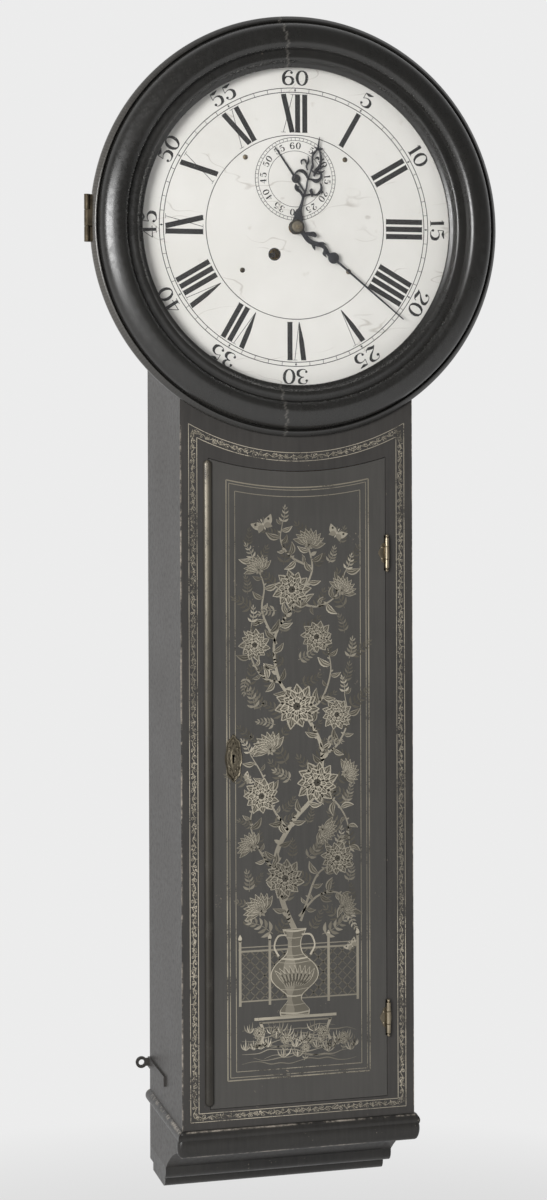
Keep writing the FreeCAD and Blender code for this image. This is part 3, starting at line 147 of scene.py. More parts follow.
def smooth_path(points, steps):
    """Curve through control points: each span is the cubic whose ends keep the neighbours' slope."""
    points = np.asarray(points, float)
    if len(points) == 2:
        return points[0] + (points[1] - points[0]) * np.linspace(0, 1, steps)[:, None]
    ends = np.vstack([2 * points[0] - points[1], points, 2 * points[-1] - points[-2]])
    along = np.linspace(0, len(points) - 1, steps)
    span = np.minimum(along.astype(int), len(points) - 2)
    part = (along - span)[:, None]
    a, b, c, d = ends[span], ends[span + 1], ends[span + 2], ends[span + 3]
    return 0.5 * (2 * b + (c - a) * part + (2 * a - 5 * b + 4 * c - d) * part**2 + (3 * b - a - 3 * c + d) * part**3)


def sides_of(line):
    """Unit vectors square to a flat line at each of its points, on its left."""
    way = np.gradient(line, axis=0)
    way /= np.maximum(np.linalg.norm(way, axis=1, keepdims=True), 1e-9)
    return np.stack([-way[:, 1], way[:, 0]], 1)


def stroke(path, widths, steps):
    """Centre line, sides and half widths of a stroke, its widths given at even places along it."""
    line = smooth_path(path, steps)
    width = np.interp(np.linspace(0, 1, steps), np.linspace(0, 1, len(widths)), widths)
    return line, sides_of(line), width[:, None] / 2


def upright(flat, level):
    """Points from (X, Z) and a depth."""
    return np.stack([flat[:, 0], np.broadcast_to(level, len(flat)), flat[:, 1]], 1)


def end_caps(count, rows):
    """Faces that close the first and the last ring of a tube of rings of count points."""
    return np.stack([np.arange(count), np.arange(count) + (rows - 1) * count])


def ribbon(surface, path, widths, level, steps=12, tone=1.0, warp=None):
    """Flat stroke: centre line plus and minus half the width along its side, at one depth."""
    line, side, half = stroke(path, widths, steps)
    flat = np.concatenate([line + side * half, line - side * half])
    if warp is not None:
        flat = warp(flat)
    surface.add(upright(flat, level), [grid(2, steps)], tone)


def strand(surface, path, widths, level, thick, steps=16, warp=None):
    """Carved bar: an eight-sided flattened oval of the stroke's width and a thickness along a line."""
    line, side, half = stroke(path, widths, steps)
    angle = np.linspace(0, 2 * math.pi, 8, endpoint=False) + math.pi / 8
    across = np.sign(np.cos(angle)) * np.abs(np.cos(angle)) ** 0.7
    deep = np.sign(np.sin(angle)) * np.abs(np.sin(angle)) ** 0.7
    flat = line[:, None, :] + side[:, None, :] * (half[:, :, None] * across[None, :, None])
    flat = flat.reshape(-1, 2)
    if warp is not None:
        flat = warp(flat)
    depth = level + thick / 2 * np.tile(deep, steps)
    surface.add(upright(flat, depth), [grid(steps, 8, wrap_columns=True), end_caps(8, steps)])


def about(axis, profile, segments):
    """Points of a profile of (distance along an axis, radius) turned about the Y or the Z axis."""
    profile = np.asarray(profile, float)
    turn = np.tile(np.linspace(0, 2 * math.pi, segments, endpoint=False), len(profile))
    along, radius = np.repeat(profile, segments, axis=0).T
    u = radius * np.cos(turn)
    v = radius * np.sin(turn)
    return np.stack((u, along, v) if axis == "y" else (u, v, along), 1)


def turning(surface, profile, segments, centre=(0, 0, 0), axis="y", tone=1.0):
    """Open profile of (distance, radius) turned about an axis, its two ends closed at the axis."""
    body = about(axis, profile, segments)
    tips = about(axis, [(profile[0][0], 0), (profile[-1][0], 0)], 1)
    first = np.arange(segments)
    following = (first + 1) % segments
    low = np.stack([first, following, np.full(segments, len(body))], 1)
    last = (len(profile) - 1) * segments
    high = np.stack([last + following, last + first, np.full(segments, len(body) + 1)], 1)
    points = np.vstack([body, tips]) + np.asarray(centre, float)
    surface.add(points, [grid(len(profile), segments, wrap_columns=True), low, high], tone)


def softened(corners, radius, steps=4):
    """Closed outline whose corners are replaced by parabolas that begin a radius before each corner."""
    corners = np.asarray(corners, float)
    out = []
    part = np.linspace(0, 1, steps)[:, None]
    for k, corner in enumerate(corners):
        before = corners[k - 1] - corner
        after = corners[(k + 1) % len(corners)] - corner
        far_before, far_after = np.linalg.norm(before), np.linalg.norm(after)
        start = corner + before / far_before * min(radius, far_before / 2.2)
        end = corner + after / far_after * min(radius, far_after / 2.2)
        out.append((1 - part) ** 2 * start + 2 * part * (1 - part) * corner + part**2 * end)
    return np.vstack(out)


def plank(surface, outline, y_low, y_high, edge=0.6, tone=1.0):
    """Flat plate: an outline in X and Z given a thickness, its rims rounded by shrinking the faces."""
    outline = np.asarray(outline, float)
    side = sides_of(np.vstack([outline[-1:], outline, outline[:1]]))[1:-1]
    area = np.sum(outline[:, 0] * np.roll(outline[:, 1], -1) - outline[:, 1] * np.roll(outline[:, 0], -1))
    inward = side * (1 if area > 0 else -1)
    levels = [(y_low, edge), (y_low + edge * 0.3, edge * 0.3), (y_low + edge, 0), (y_high - edge, 0),
              (y_high - edge * 0.3, edge * 0.3), (y_high, edge)]
    rings = [upright(outline + inward * shrink, level) for level, shrink in levels]
    count = len(outline)
    surface.add(np.vstack(rings), [grid(6, count, wrap_columns=True), end_caps(count, 6)], tone)


def arc_points(x, z, wide, tall, first, last, steps=9):
    """Points on an oval from one angle to another, anticlockwise from the right, in degrees."""
    turn = np.radians(np.linspace(first, last, steps))
    return np.stack([x + wide * np.cos(turn), z + tall * np.sin(turn)], 1)


# Shader groups and materials


def grey(value):
    """Colour with the same share of red, green and blue."""
    return (value, value, value)


class Net:
    """A node tree, with a short call for each kind of node that the materials use."""

    def __init__(self, tree):
        self.tree = tree
        tree.nodes.clear()

    def feed(self, socket, value):
        """Link an output to a socket, or set the socket's own value; colours are given without alpha."""
        if hasattr(value, "node"):
            self.tree.links.new(value, socket)
        elif value is not None:
            socket.default_value = (*value, 1) if socket.type == "RGBA" else value

    def node(self, kind, *values, **settings):
        """New node with its first inputs fed from values and its own settings made."""
        made = self.tree.nodes.new("ShaderNode" + kind)
        for key, value in settings.items():
            setattr(made, key, value)
        for socket, value in zip(made.inputs, values):
            self.feed(socket, value)
        return made

    def feed_named(self, made, **values):
        for key, value in values.items():
            self.feed(made.inputs[key.replace("_", " ")], value)

    def maths(self, operation, first, second=None, clamp=False):
        return self.node("Math", first, second, operation=operation, use_clamp=clamp).outputs[0]

    def plus(self, first, second, clamp=False):
        return self.maths("ADD", first, second, clamp)

    def minus(self, first, second, clamp=False):
        return self.maths("SUBTRACT", first, second, clamp)

    def times(self, first, second, clamp=False):
        return self.maths("MULTIPLY", first, second, clamp)

    def vector(self, operation, first, second=None):
        made = self.node("VectorMath", first, second, operation=operation)
        return made.outputs["Value" if operation == "LENGTH" else "Vector"]

    def mixed(self, factor, first, second):
        made = self.node("Mix", factor, data_type="RGBA")
        self.feed(made.inputs[6], first)
        self.feed(made.inputs[7], second)
        return made.outputs[2]

    def noise(self, vector, scale, detail, rough, stretch=None):
        if stretch:
            mapping = self.node("Mapping", vector)
            self.feed_named(mapping, Scale=stretch)
            vector = mapping.outputs[0]
        made = self.node("TexNoise")
        self.feed_named(made, Vector=vector, Scale=scale, Detail=detail, Roughness=rough)
        return made.outputs[0]

    def ramp(self, source, *stops):
        made = self.node("ValToRGB", source)
        items = made.color_ramp.elements
        while len(items) < len(stops):
            items.new(0.5)
        for item, (place, colour) in zip(items, stops):
            item.position = place
            item.color = (*colour, 1)
        return made.outputs[0]

    def band(self, source, low, high):
        """Black up to low and white from high."""
        return self.ramp(source, (low, grey(0)), (high, grey(1)))


def new_group(name, inputs, outputs, work):
    """Node group with sockets by name and kind, whose outputs are what work gives for its inputs."""
    tree = bpy.data.node_groups.new(name, "ShaderNodeTree")
    for way, sockets in (("INPUT", inputs), ("OUTPUT", outputs)):
        for label, kind in sockets.items():
            tree.interface.new_socket(label, in_out=way, socket_type="NodeSocket" + kind)
    net = Net(tree)
    given, result = tree.nodes.new("NodeGroupInput"), tree.nodes.new("NodeGroupOutput")
    for socket, value in zip(result.inputs, work(net, *given.outputs[:len(inputs)])):
        tree.links.new(value, socket)
    return tree


def aged_paint(net, place, paint, faded, ground, chips, gloss):
    """Old varnished paint: cloudy tone, long brush streaks, fine chips that show the ground, dust."""
    cloud = net.band(net.noise(place, 7.0, 5.0, 0.6), 0.3, 0.72)
    streak = net.band(net.noise(place, 9.0, 6.0, 0.7, (22, 22, 1.2)), 0.35, 0.7)
    colour = net.mixed(net.mixed(0.5, cloud, streak), paint, faded)
    speck = net.noise(place, 420.0, 2.0, 0.6)
    patch = net.noise(place, 24.0, 4.0, 0.7)
    limit = net.minus(0.47, net.times(chips, 0.22))
    chip = net.times(net.minus(net.times(speck, patch), limit), 30.0, True)
    dust = net.band(net.noise(place, 160.0, 6.0, 0.7), 0.45, 0.85)
    rough = net.plus(net.plus(gloss, net.times(dust, 0.22)), net.times(cloud, 0.08))
    ripple = net.times(net.noise(place, 60.0, 4.0, 0.6, (3, 3, 0.5)), 0.6)
    height = net.minus(net.plus(ripple, net.times(speck, 0.2)), chip)
    return net.mixed(chip, colour, ground), net.plus(rough, net.times(chip, 0.3), True), height


def worked_metal(net, place, metal, tarnish, age, gloss):
    """Filed and tarnished metal: fine scratches along one way, blotches of tarnish, pitting."""
    blotch = net.plus(net.minus(net.noise(place, 55.0, 6.0, 0.65), 0.5), age)
    blotch = net.band(blotch, 0.25, 0.8)
    scratch = net.noise(place, 300.0, 3.0, 0.6, (1, 1, 9))
    pit = net.band(net.noise(place, 700.0, 2.0, 0.5), 0.3, 0.42)
    rough = net.plus(net.plus(gloss, net.times(blotch, 0.3)), net.times(scratch, 0.12), True)
    height = net.plus(net.times(scratch, 0.4), net.times(pit, 0.4))
    return net.mixed(blotch, metal, tarnish), rough, height


def sawn_wood(net, place, light, dark):
    """Bare pine: long rings of grain, darker late wood, pores and a little grime."""
    long_way = net.noise(place, 16.0, 5.0, 0.6, (5, 5, 0.35))
    bands = net.band(net.maths("SINE", net.times(long_way, 70.0)), 0.1, 0.95)
    pore = net.noise(place, 420.0, 3.0, 0.7, (1, 1, 0.06))
    colour = net.mixed(net.times(bands, 0.6), light, dark)
    colour = net.mixed(net.times(pore, 0.4), colour, dark)
    return colour, net.plus(net.times(pore, 0.25), 0.55), pore


def edge_wear(net, place, edge, across, width):
    """Rubbed edge: how near a point is to a straight edge, broken up by noise."""
    away = net.vector("LENGTH", net.vector("MULTIPLY", net.vector("SUBTRACT", place, edge), across))
    near = net.minus(1.0, net.maths("DIVIDE", away, width), True)
    fine = net.times(net.noise(place, 170.0, 5.0, 0.7), 0.9)
    broad = net.times(net.noise(place, 14.0, 3.0, 0.6), 0.8)
    return [net.times(net.times(near, net.minus(net.plus(fine, broad), 0.80)), 6.0, True)]


LOOKS = {"Color": "Color", "Roughness": "Float", "Height": "Float"}
AGED_PAINT = new_group("aged_paint", {"Vector": "Vector", "Paint": "Color", "Faded": "Color", "Ground": "Color",
                                      "Chips": "Float", "Gloss": "Float"}, LOOKS, aged_paint)
WORKED_METAL = new_group("worked_metal", {"Vector": "Vector", "Metal": "Color", "Tarnish": "Color", "Age": "Float",
                                          "Gloss": "Float"}, LOOKS, worked_metal)
SAWN_WOOD = new_group("sawn_wood", {"Vector": "Vector", "Light": "Color", "Dark": "Color"}, LOOKS, sawn_wood)
EDGE_WEAR = new_group("edge_wear", {"Vector": "Vector", "Edge": "Vector", "Across": "Vector", "Width": "Float"},
                      {"Mask": "Float"}, edge_wear)


class Material(Net):
    """Material with one shader, its output node and the Object coordinates at hand."""

    def __init__(self, name, kind="BsdfPrincipled"):
        self.material = bpy.data.materials.new(name)
        self.material.use_nodes = True
        super().__init__(self.material.node_tree)
        self.shader = self.node(kind)
        self.output = self.node("OutputMaterial", self.shader.outputs[0])
        self.place = self.node("TexCoord").outputs["Object"]

    def tone(self):
        return self.node("Attribute", attribute_name="tone").outputs["Fac"]

    def bump(self, height, strength, distance):
        relief = self.node("Bump")
        self.feed_named(relief, Strength=strength, Distance=distance, Height=height)
        self.feed_named(self.shader, Normal=relief.outputs[0])

    def share(self, factor, other):
        """The shader gives way to another one by a factor."""
        mix = self.node("MixShader", factor, self.shader.outputs[0], other)
        self.feed(self.output.inputs[0], mix.outputs[0])


def material_of(name, group, metallic=0.0, bump=0.2, distance=0.0004, specular=0.5, worn=(), toned=None, ahead=None,
                **inputs):
    """Material whose colour, roughness and bump come from a group, with its inputs by name.

    worn lists edges as (point, axes across the edge, width); toned gives the colour at a tone of 0,
    ahead a depth and the colour of what lies before it: a painted shade, dark where a part sits back in a hole.
    """
    net = Material(name)
    used = net.node("Group", net.place, node_tree=group)
    for key, value in inputs.items():
        net.feed(used.inputs[key.capitalize()], value)
    colour = used.outputs["Color"]
    for edge in worn:
        rub = net.node("Group", net.place, *edge, node_tree=EDGE_WEAR)
        colour = net.mixed(rub.outputs[0], colour, (0.36, 0.32, 0.27))
    # Painted shade: what lies before the given depth takes the dark colour given with it.
    if ahead is not None:
        depth = net.node("SeparateXYZ", net.place).outputs["Y"]
        colour = net.mixed(net.maths("LESS_THAN", depth, ahead[0]), colour, ahead[1])
    if toned is not None:
        colour = net.mixed(net.tone(), toned, colour)
    net.feed_named(net.shader, Base_Color=colour, Roughness=used.outputs["Roughness"], Metallic=metallic,
                   Specular_IOR_Level=specular)
    net.bump(used.outputs["Height"], bump, distance)
    return net.material


def metal_of(name, metal, tarnish, age, gloss, metallic=1.0, bump=0.12, distance=0.0002, **rest):
    """Worked metal from its clean and its tarnished colour, how far it has aged and how rough it is."""
    return material_of(name, WORKED_METAL, metallic, bump, distance, metal=metal, tarnish=tarnish, age=age,
                       gloss=gloss, **rest)


UPRIGHT = (1, 1, 0)
LEVEL = (0, 1, 1)
BESIDE = (1, 0, 1)
BASE_TOP = DIAL_CENTRE[2] - 1.1178
BASE_MIDDLE = DIAL_CENTRE[2] - 1.1498
BARE_GROUND = (0.26, 0.22, 0.17)
BLACK_JAPAN = material_of(
    "black_japan", AGED_PAINT, paint=(0.040, 0.038, 0.036), faded=(0.062, 0.058, 0.054), ground=BARE_GROUND,
    chips=0.12, gloss=0.34, bump=0.15, specular=0.20,
    worn=[((-0.150, TRUNK_FRONT, 0), UPRIGHT, 0.0022), ((0.150, TRUNK_FRONT, 0), UPRIGHT, 0.0012)])
DOOR_JAPAN = material_of(
    "door_japan", AGED_PAINT, paint=(0.056, 0.054, 0.050), faded=(0.078, 0.074, 0.068), ground=BARE_GROUND,
    chips=0.14, gloss=0.34, bump=0.15, specular=0.30)
BEZEL_JAPAN = material_of(
    "bezel_japan", AGED_PAINT, paint=(0.015, 0.0145, 0.0135), faded=(0.024, 0.023, 0.021), ground=(0.20, 0.16, 0.12),
    chips=0.06, gloss=0.24, bump=0.05, specular=0.63, toned=(0.15, 0.14, 0.125))
WORN_BASE = material_of(
    "worn_base", AGED_PAINT, paint=(0.017, 0.016, 0.015), faded=(0.036, 0.034, 0.031), ground=(0.38, 0.33, 0.27),
    chips=0.22, gloss=0.30, bump=0.2, specular=0.36,
    worn=[((0, TRUNK_FRONT - 0.0035, BASE_TOP), LEVEL, 0.0019),
          ((0, TRUNK_FRONT - 0.0025, BASE_MIDDLE), LEVEL, 0.0026), ((-0.1530, 0, BASE_TOP), BESIDE, 0.004)])
INK = material_of(
    "dial_ink", AGED_PAINT, paint=(0.010, 0.010, 0.010), faded=(0.024, 0.023, 0.022), ground=(0.45, 0.43, 0.39),
    chips=0.02, gloss=0.5, bump=0.1, specular=0.2)
BARE_PINE = material_of("bare_pine", SAWN_WOOD, light=(0.36, 0.22, 0.11), dark=(0.17, 0.085, 0.038), bump=0.3)
GUT_LINE = material_of("gut_line", SAWN_WOOD, light=(0.55, 0.38, 0.18), dark=(0.33, 0.2, 0.08), bump=0.2)
HINGE_BRASS = metal_of("hinge_brass", (0.42, 0.36, 0.26), (0.13, 0.105, 0.075), 0.42, 0.28, bump=0.25,
                       toned=(0.03, 0.027, 0.022))
DARK_BRASS = metal_of("dark_brass", (0.16, 0.13, 0.085), (0.035, 0.028, 0.02), 0.62, 0.34, 0.9, 0.3)
PLATE_BRASS = metal_of("plate_brass", (0.27, 0.235, 0.17), (0.06, 0.05, 0.036), 0.5, 0.26, 0.95, 0.3,
                       toned=(0.012, 0.011, 0.010))
YELLOW, BROWNED = (0.78, 0.58, 0.26), (0.45, 0.30, 0.12)
CLEAN_BRASS = metal_of("clean_brass", YELLOW, BROWNED, 0.3, 0.18)
# Painted shade: the front ends of the winding barrel and escape arbor, sitting in the dial's holes, are painted near
# black.
BARREL_BRASS_PAINTED_SHADE = metal_of("barrel_brass_painted_shade", YELLOW, BROWNED, 0.3, 0.22, ahead=(TRUNK_FRONT + 0.022, (0.045, 0.043, 0.04)))
BLUED_STEEL = metal_of("blued_steel", (0.030, 0.032, 0.038), (0.014, 0.012, 0.011), 0.4, 0.28, 0.7, 0.15)
BRIGHT_STEEL = metal_of("bright_steel", (0.56, 0.55, 0.53), (0.26, 0.22, 0.18), 0.35, 0.2, 1.0, 0.15)
BLACK_IRON = metal_of("black_iron", (0.10, 0.095, 0.09), (0.045, 0.03, 0.022), 0.55, 0.42, 0.8, 0.5, 0.0003)
DULL_LEAD = metal_of("dull_lead", (0.24, 0.24, 0.25), (0.12, 0.12, 0.125), 0.5, 0.5, 0.9, 0.5, 0.0004)


def dial_cream():
    """Painted dial: warm white with faint clouding, a few hairlines and small spots."""
    net = Material("dial_cream")
    cloud = net.band(net.noise(net.place, 9.0, 5.0, 0.6), 0.3, 0.75)
    colour = net.mixed(cloud, (0.80, 0.785, 0.745), (0.70, 0.685, 0.64))
    spots = net.band(net.noise(net.place, 62.0, 2.0, 0.4), 0.72, 0.80)
    fine = net.band(net.noise(net.place, 380.0, 2.0, 0.4), 0.74, 0.8)
    colour = net.mixed(net.times(spots, 0.30), colour, (0.42, 0.37, 0.29))
    colour = net.mixed(net.times(fine, 0.35), colour, (0.36, 0.31, 0.25))
    crack = net.maths("ABSOLUTE", net.minus(net.noise(net.place, 5.0, 3.0, 0.5, (1.0, 1.0, 2.6)), 0.53))
    crack = net.ramp(crack, (0.0, grey(1)), (0.0022, grey(0)))
    broken = net.band(net.noise(net.place, 17.0, 2.0, 0.5), 0.46, 0.56)
    colour = net.mixed(net.times(net.times(crack, broken), 0.5), colour, (0.35, 0.31, 0.26))
    net.feed_named(net.shader, Base_Color=colour, Roughness=net.plus(net.times(cloud, 0.15), 0.42))
    net.bump(net.noise(net.place, 120.0, 4.0, 0.6), 0.12, 0.0003)
    return net.material


def gilding(name, bright, dim, wear):
    """Gold leaf and paint by tone: bright where the tone is high, rubbed through in patches to black."""
    net = Material(name)
    colour = net.ramp(net.tone(), (0.1, (0.03, 0.027, 0.022)), (0.35, dim), (1.0, bright))
    grain = net.noise(net.place, 900.0, 2.0, 0.6)
    patch = net.noise(net.place, 26.0, 5.0, 0.65)
    rubbed = net.band(net.plus(net.times(grain, 0.45), net.times(patch, 0.8)), wear, wear + 0.10)
    broad = net.band(net.noise(net.place, 4.5, 3.0, 0.6), 0.40, 0.60)
    colour = net.mixed(net.times(broad, 0.55), colour, (0.075, 0.068, 0.055))
    colour = net.mixed(rubbed, colour, (0.04, 0.035, 0.028))
    net.feed_named(net.shader, Base_Color=colour, Metallic=net.times(net.minus(1.0, rubbed), 0.45),
                   Roughness=net.plus(net.times(grain, 0.3), 0.3))
    net.bump(grain, 0.3, 0.0002)
    return net.material


def window_glass():
    """Old flat glass: clear, a trace of smear, and no dark shadow behind it."""
    net = Material("window_glass")
    smear = net.ramp(net.noise(net.place, 14.0, 4.0, 0.6), (0.4, grey(0.0)), (0.8, grey(0.012)))
    net.feed_named(net.shader, Roughness=smear, Base_Color=grey(1.0), Transmission_Weight=1.0, IOR=1.45,
                   Specular_IOR_Level=0.22)
    ray = net.node("LightPath").outputs
    unseen = net.maths("MAXIMUM", ray["Is Shadow Ray"], ray["Is Diffuse Ray"])
    net.share(unseen, net.node("BsdfTransparent").outputs[0])
    return net.material


BORDER_GILT = gilding("border_gilt", (0.70, 0.63, 0.50), (0.24, 0.215, 0.16), 0.66)
DOOR_GILT = gilding("door_gilt", (0.66, 0.60, 0.48), (0.15, 0.136, 0.105), 0.76)
BEAD_GILT = gilding("bead_gilt", (0.42, 0.375, 0.29), (0.09, 0.08, 0.06), 0.66)


def dress(material, names):
    """Give CAD nodes a material in all their slots."""
    for name in names.split():
        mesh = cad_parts[name].data
        if not len(mesh.materials):
            mesh.materials.append(material)
        for index in range(len(mesh.materials)):
            mesh.materials[index] = material


dress(BLACK_JAPAN, "side_left side_right front_stile_left front_stile_right front_top_rail front_bottom_rail "
                   "hood_ring head_top_board wall_lug_left wall_lug_right")
dress(DOOR_JAPAN, "door_panel")
dress(WORN_BASE, "base_torus base_cove base_ledge base_foot_board")
dress(BARE_PINE, "backboard seatboard seatboard_cheeks")
dress(dial_cream(), "dial_plate")
dress(window_glass(), "bezel_glass")
dress(DARK_BRASS, "bezel_hinge_fixed bezel_hinge_leaf dial_feet")
dress(CLEAN_BRASS, "front_plate back_plate plate_pillars great_wheel centre_arbor third_arbor minute_wheel "
                   "hour_wheel pulley pendulum_bob rating_nut back_cock")
dress(BARREL_BRASS_PAINTED_SHADE, "winding_barrel escape_arbor")
dress(BRIGHT_STEEL, "cannon_pinion pallet_anchor pendulum_rod pulley_frame lock_bolt")
dress(BLACK_IRON, "hanging_plate lock_case lock_keep")
dress(DULL_LEAD, "driving_weight")
dress(GUT_LINE, "gut_loop")


# Gut line and bezel


def gut_lines():
    """Two falls of gut line, round rods along Z from the pulley up to the seatboard, the left one going on to the
    barrel.
    """
    radius, depth = 0.5, 61.0
    pulley, seatboard, barrel = -945.03, -82.03, -34.2
    left, right = -43.3, 0.7
    falls = Surface()
    for x in (left, right):
        turning(falls, [(pulley, radius), (seatboard, radius)], 10, (x, depth, 0), "z")
    piece = make("gut_line_falls", falls, "case", GUT_LINE, replaces=("gut_falls",))
    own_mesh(piece)
    above = Surface()
    turning(above, [(seatboard, radius), (barrel, radius)], 10, (left, depth, 0), "z")
    make("gut_line_above", above, "case", GUT_LINE)


def bezel_profile():
    """Section of the bezel as (depth, radius): rim ridge, torus, quirk, inner ridge, hollow and lip."""
    rim = smooth_path([(-0.5, 261.7), (-3.2, 261.9), (-5.6, 261.2), (-8.2, 258.9), (-10.4, 256.6), (-10.2, 254.9),
                       (-7.3, 253.8)], 14)
    torus = smooth_path([(-6.9, 253.0), (-13.2, 252.2), (-18.8, 249.8), (-22.4, 246.0), (-24.8, 241.2),
                         (-26.7, 235.8), (-27.95, 229.6), (-27.2, 224.2), (-24.0, 220.0), (-19.2, 218.2)], 34)
    ridge = smooth_path([(-17.9, 217.4), (-18.2, 214.0), (-18.8, 210.6), (-18.7, 208.0), (-17.8, 205.9)], 12)
    hollow = smooth_path([(-17.4, 205.5), (-14.4, 203.8), (-12.0, 201.6), (-10.5, 198.9)], 9)
    lip = [(-9.9, 197.9), (-9.0, 197.5), (-7.6, 197.5), (-7.6, 204.8), (-0.6, 204.9)]
    return np.vstack([rim, torus, ridge, hollow, lip])


def hinge_notch(points):
    """Left edge pushed in to the flat of the hinge where the hinge lies."""
    hinge_middle, half_length, front, flat = 6.0, 29.1, -7.2, -258.2
    beside = (np.abs(points[:, 2] - hinge_middle) < half_length) & (points[:, 1] > front)
    points[:, 0] = np.where(beside, np.maximum(points[:, 0], flat), points[:, 0])
    return points


def bezel_tone(points):
    """Tone of the bezel, 1 in sound paint, lowered by three terms in radius and angle.

    Two uneven lines across the moulding where its joints have opened, an outer rim made lighter on the left, and
    smudges at the upper left: products of sines of angle and radius under a bell curve in angle.
    """
    radius = np.hypot(points[:, 0], points[:, 2])
    turn = np.degrees(np.arctan2(points[:, 2], points[:, 0]))
    tone = np.ones(len(points))
    wobble = 0.35 * np.sin(radius * 0.55) + 0.25 * np.sin(radius * 1.7)
    for joint, lean in ((-95.5, 0.055), (94.6, 0.02)):
        away = np.abs(turn - joint - lean * (radius - 228) - wobble)
        tone = np.minimum(tone, np.where(points[:, 1] < -4, 0.15 + away / 0.42, 1))
    # The outer rim is made lighter on the left, under a bell curve in angle round 178 degrees.
    rubbed = np.exp(-(((np.abs(turn) - 178) / 42) ** 2)) * np.clip((radius - 253.8) / 1.5, 0, 1)
    tone -= 0.62 * rubbed * (0.75 + 0.25 * np.sin(turn * 9.1))
    smudge = np.sin(turn * 2.3 + radius * 0.9) * np.sin(turn * 5.1 - radius * 0.35) * np.sin(turn * 0.7)
    tone -= 0.30 * np.clip(smudge - 0.35, 0, 1) * np.exp(-(((turn - 138) / 22) ** 2)) * (radius > 232)
    return np.clip(tone, 0, 1)


def bezel_moulding():
    """Section turned about the dial's axis, its last point joined to its first."""
    bezel = Surface()
    profile = bezel_profile()
    points = hinge_notch(about("y", profile, 900))
    bezel.add(points, [grid(len(profile), 900, True, True)], bezel_tone(points))
    make("bezel_moulding", bezel, "bezel", BEZEL_JAPAN, sharp=40, replaces=("bezel_ring",))


gut_lines()
bezel_moulding()


# Dial lettering


def polar(radius, degrees, bend, centre=(0, 0)):
    """Drawing bent round a centre: its foot at a radius, its width true at the radius of bend."""
    angle = math.radians(degrees)

    def warp(flat):
        reach = radius + flat[:, 1]
        turn = angle + flat[:, 0] / bend
        return np.stack([centre[0] + reach * np.sin(turn), centre[1] + reach * np.cos(turn)], 1)

    return warp


def radial(degrees, centre=(0, 0)):
    """Straight drawing whose up direction is turned clockwise from twelve about a centre."""
    angle = math.radians(degrees)
    cos, sin = math.cos(angle), math.sin(angle)

    def warp(flat):
        across, up = flat[:, 0], flat[:, 1]
        return np.stack([across * cos + up * sin + centre[0], up * cos - across * sin + centre[1]], 1)

    return warp


def ball(x, z, size, wide=0.035, tall=0.045):
    """Round end of a figure's stroke: a small oval ring as wide as the ball's share of 0.135."""
    return arc_points(x, z, wide, tall, 90, 450, 9), [0.135 * size]


THICK = 0.215
THIN = 0.045
ROUND = [THICK, THICK * 0.8, THIN, THICK * 0.8, THICK, THICK * 0.8, THIN, THICK * 0.8, THICK]
# Strokes of each figure one unit high, as points and widths: thick downstrokes and hairlines.
DIGITS = {
    "0": [(arc_points(0, 0.5, 0.24, 0.484, 0, 360, 17), ROUND)],
    "1": [([(0.02, 0.98), (0.02, 0.02)], [THICK]),
          ([(-0.17, 0.84), (-0.08, 0.88), (0.0, 0.97)], [THIN, THIN, THIN * 1.5]),
          ([(-0.18, 0.016), (0.22, 0.016)], [THIN])],
    "2": [ball(-0.17, 0.73, 0.7, 0.04, 0.05),
          ([(-0.22, 0.74), (-0.16, 0.93), (0.02, 0.985), (0.2, 0.9), (0.235, 0.72), (0.12, 0.5), (-0.1, 0.28),
            (-0.25, 0.05)], [THIN, THIN, THIN * 1.3, THICK * 0.9, THICK, THICK * 0.7, THIN * 1.3, THIN]),
          ([(-0.26, 0.05), (-0.12, 0.12), (0.08, 0.05), (0.24, 0.06)], [THIN, THICK * 0.9, THICK, THIN]),
          ([(0.23, 0.04), (0.28, 0.2)], [THIN * 1.4, THIN])],
    "3": [ball(-0.17, 0.78, 0.6),
          ([(-0.21, 0.8), (-0.12, 0.955), (0.03, 0.985), (0.17, 0.9), (0.19, 0.74), (0.1, 0.58), (-0.05, 0.535)],
           [THIN, THIN, THIN * 1.3, THICK * 0.85, THICK * 0.85, THIN * 1.8, THIN]),
          ([(-0.05, 0.535), (0.12, 0.5), (0.235, 0.36), (0.22, 0.14), (0.05, 0.016), (-0.12, 0.03), (-0.22, 0.17)],
           [THIN, THIN * 1.8, THICK, THICK, THIN * 1.5, THIN, THIN]),
          ball(-0.18, 0.19, 0.6)],
    "4": [([(0.1, 0.98), (0.1, 0.02)], [THICK]),
          ([(0.08, 0.97), (-0.27, 0.3)], [THIN]),
          ([(-0.28, 0.29), (0.28, 0.29)], [THIN * 1.2]),
          ([(-0.06, 0.016), (0.26, 0.016)], [THIN])],
    "5": [([(-0.17, 0.93), (0.0, 0.89), (0.2, 0.97)], [THIN * 1.3, THICK * 0.95, THIN]),
          ([(-0.17, 0.94), (-0.19, 0.52)], [THIN]),
          ([(-0.19, 0.52), (-0.05, 0.62), (0.12, 0.6), (0.235, 0.42), (0.21, 0.15), (0.04, 0.016), (-0.13, 0.03),
            (-0.22, 0.16)], [THIN, THIN, THICK * 0.5, THICK, THICK * 1.05, THIN * 1.8, THIN, THIN]),
          ball(-0.18, 0.18, 0.65)],
    "6": [(arc_points(0.0, 0.3, 0.235, 0.285, 0, 360, 17), ROUND),
          ([(-0.235, 0.3), (-0.22, 0.62), (-0.08, 0.9), (0.1, 0.985), (0.2, 0.88)],
           [THICK, THICK, THICK * 0.6, THIN, THIN]),
          ball(0.17, 0.84, 0.65)],
}


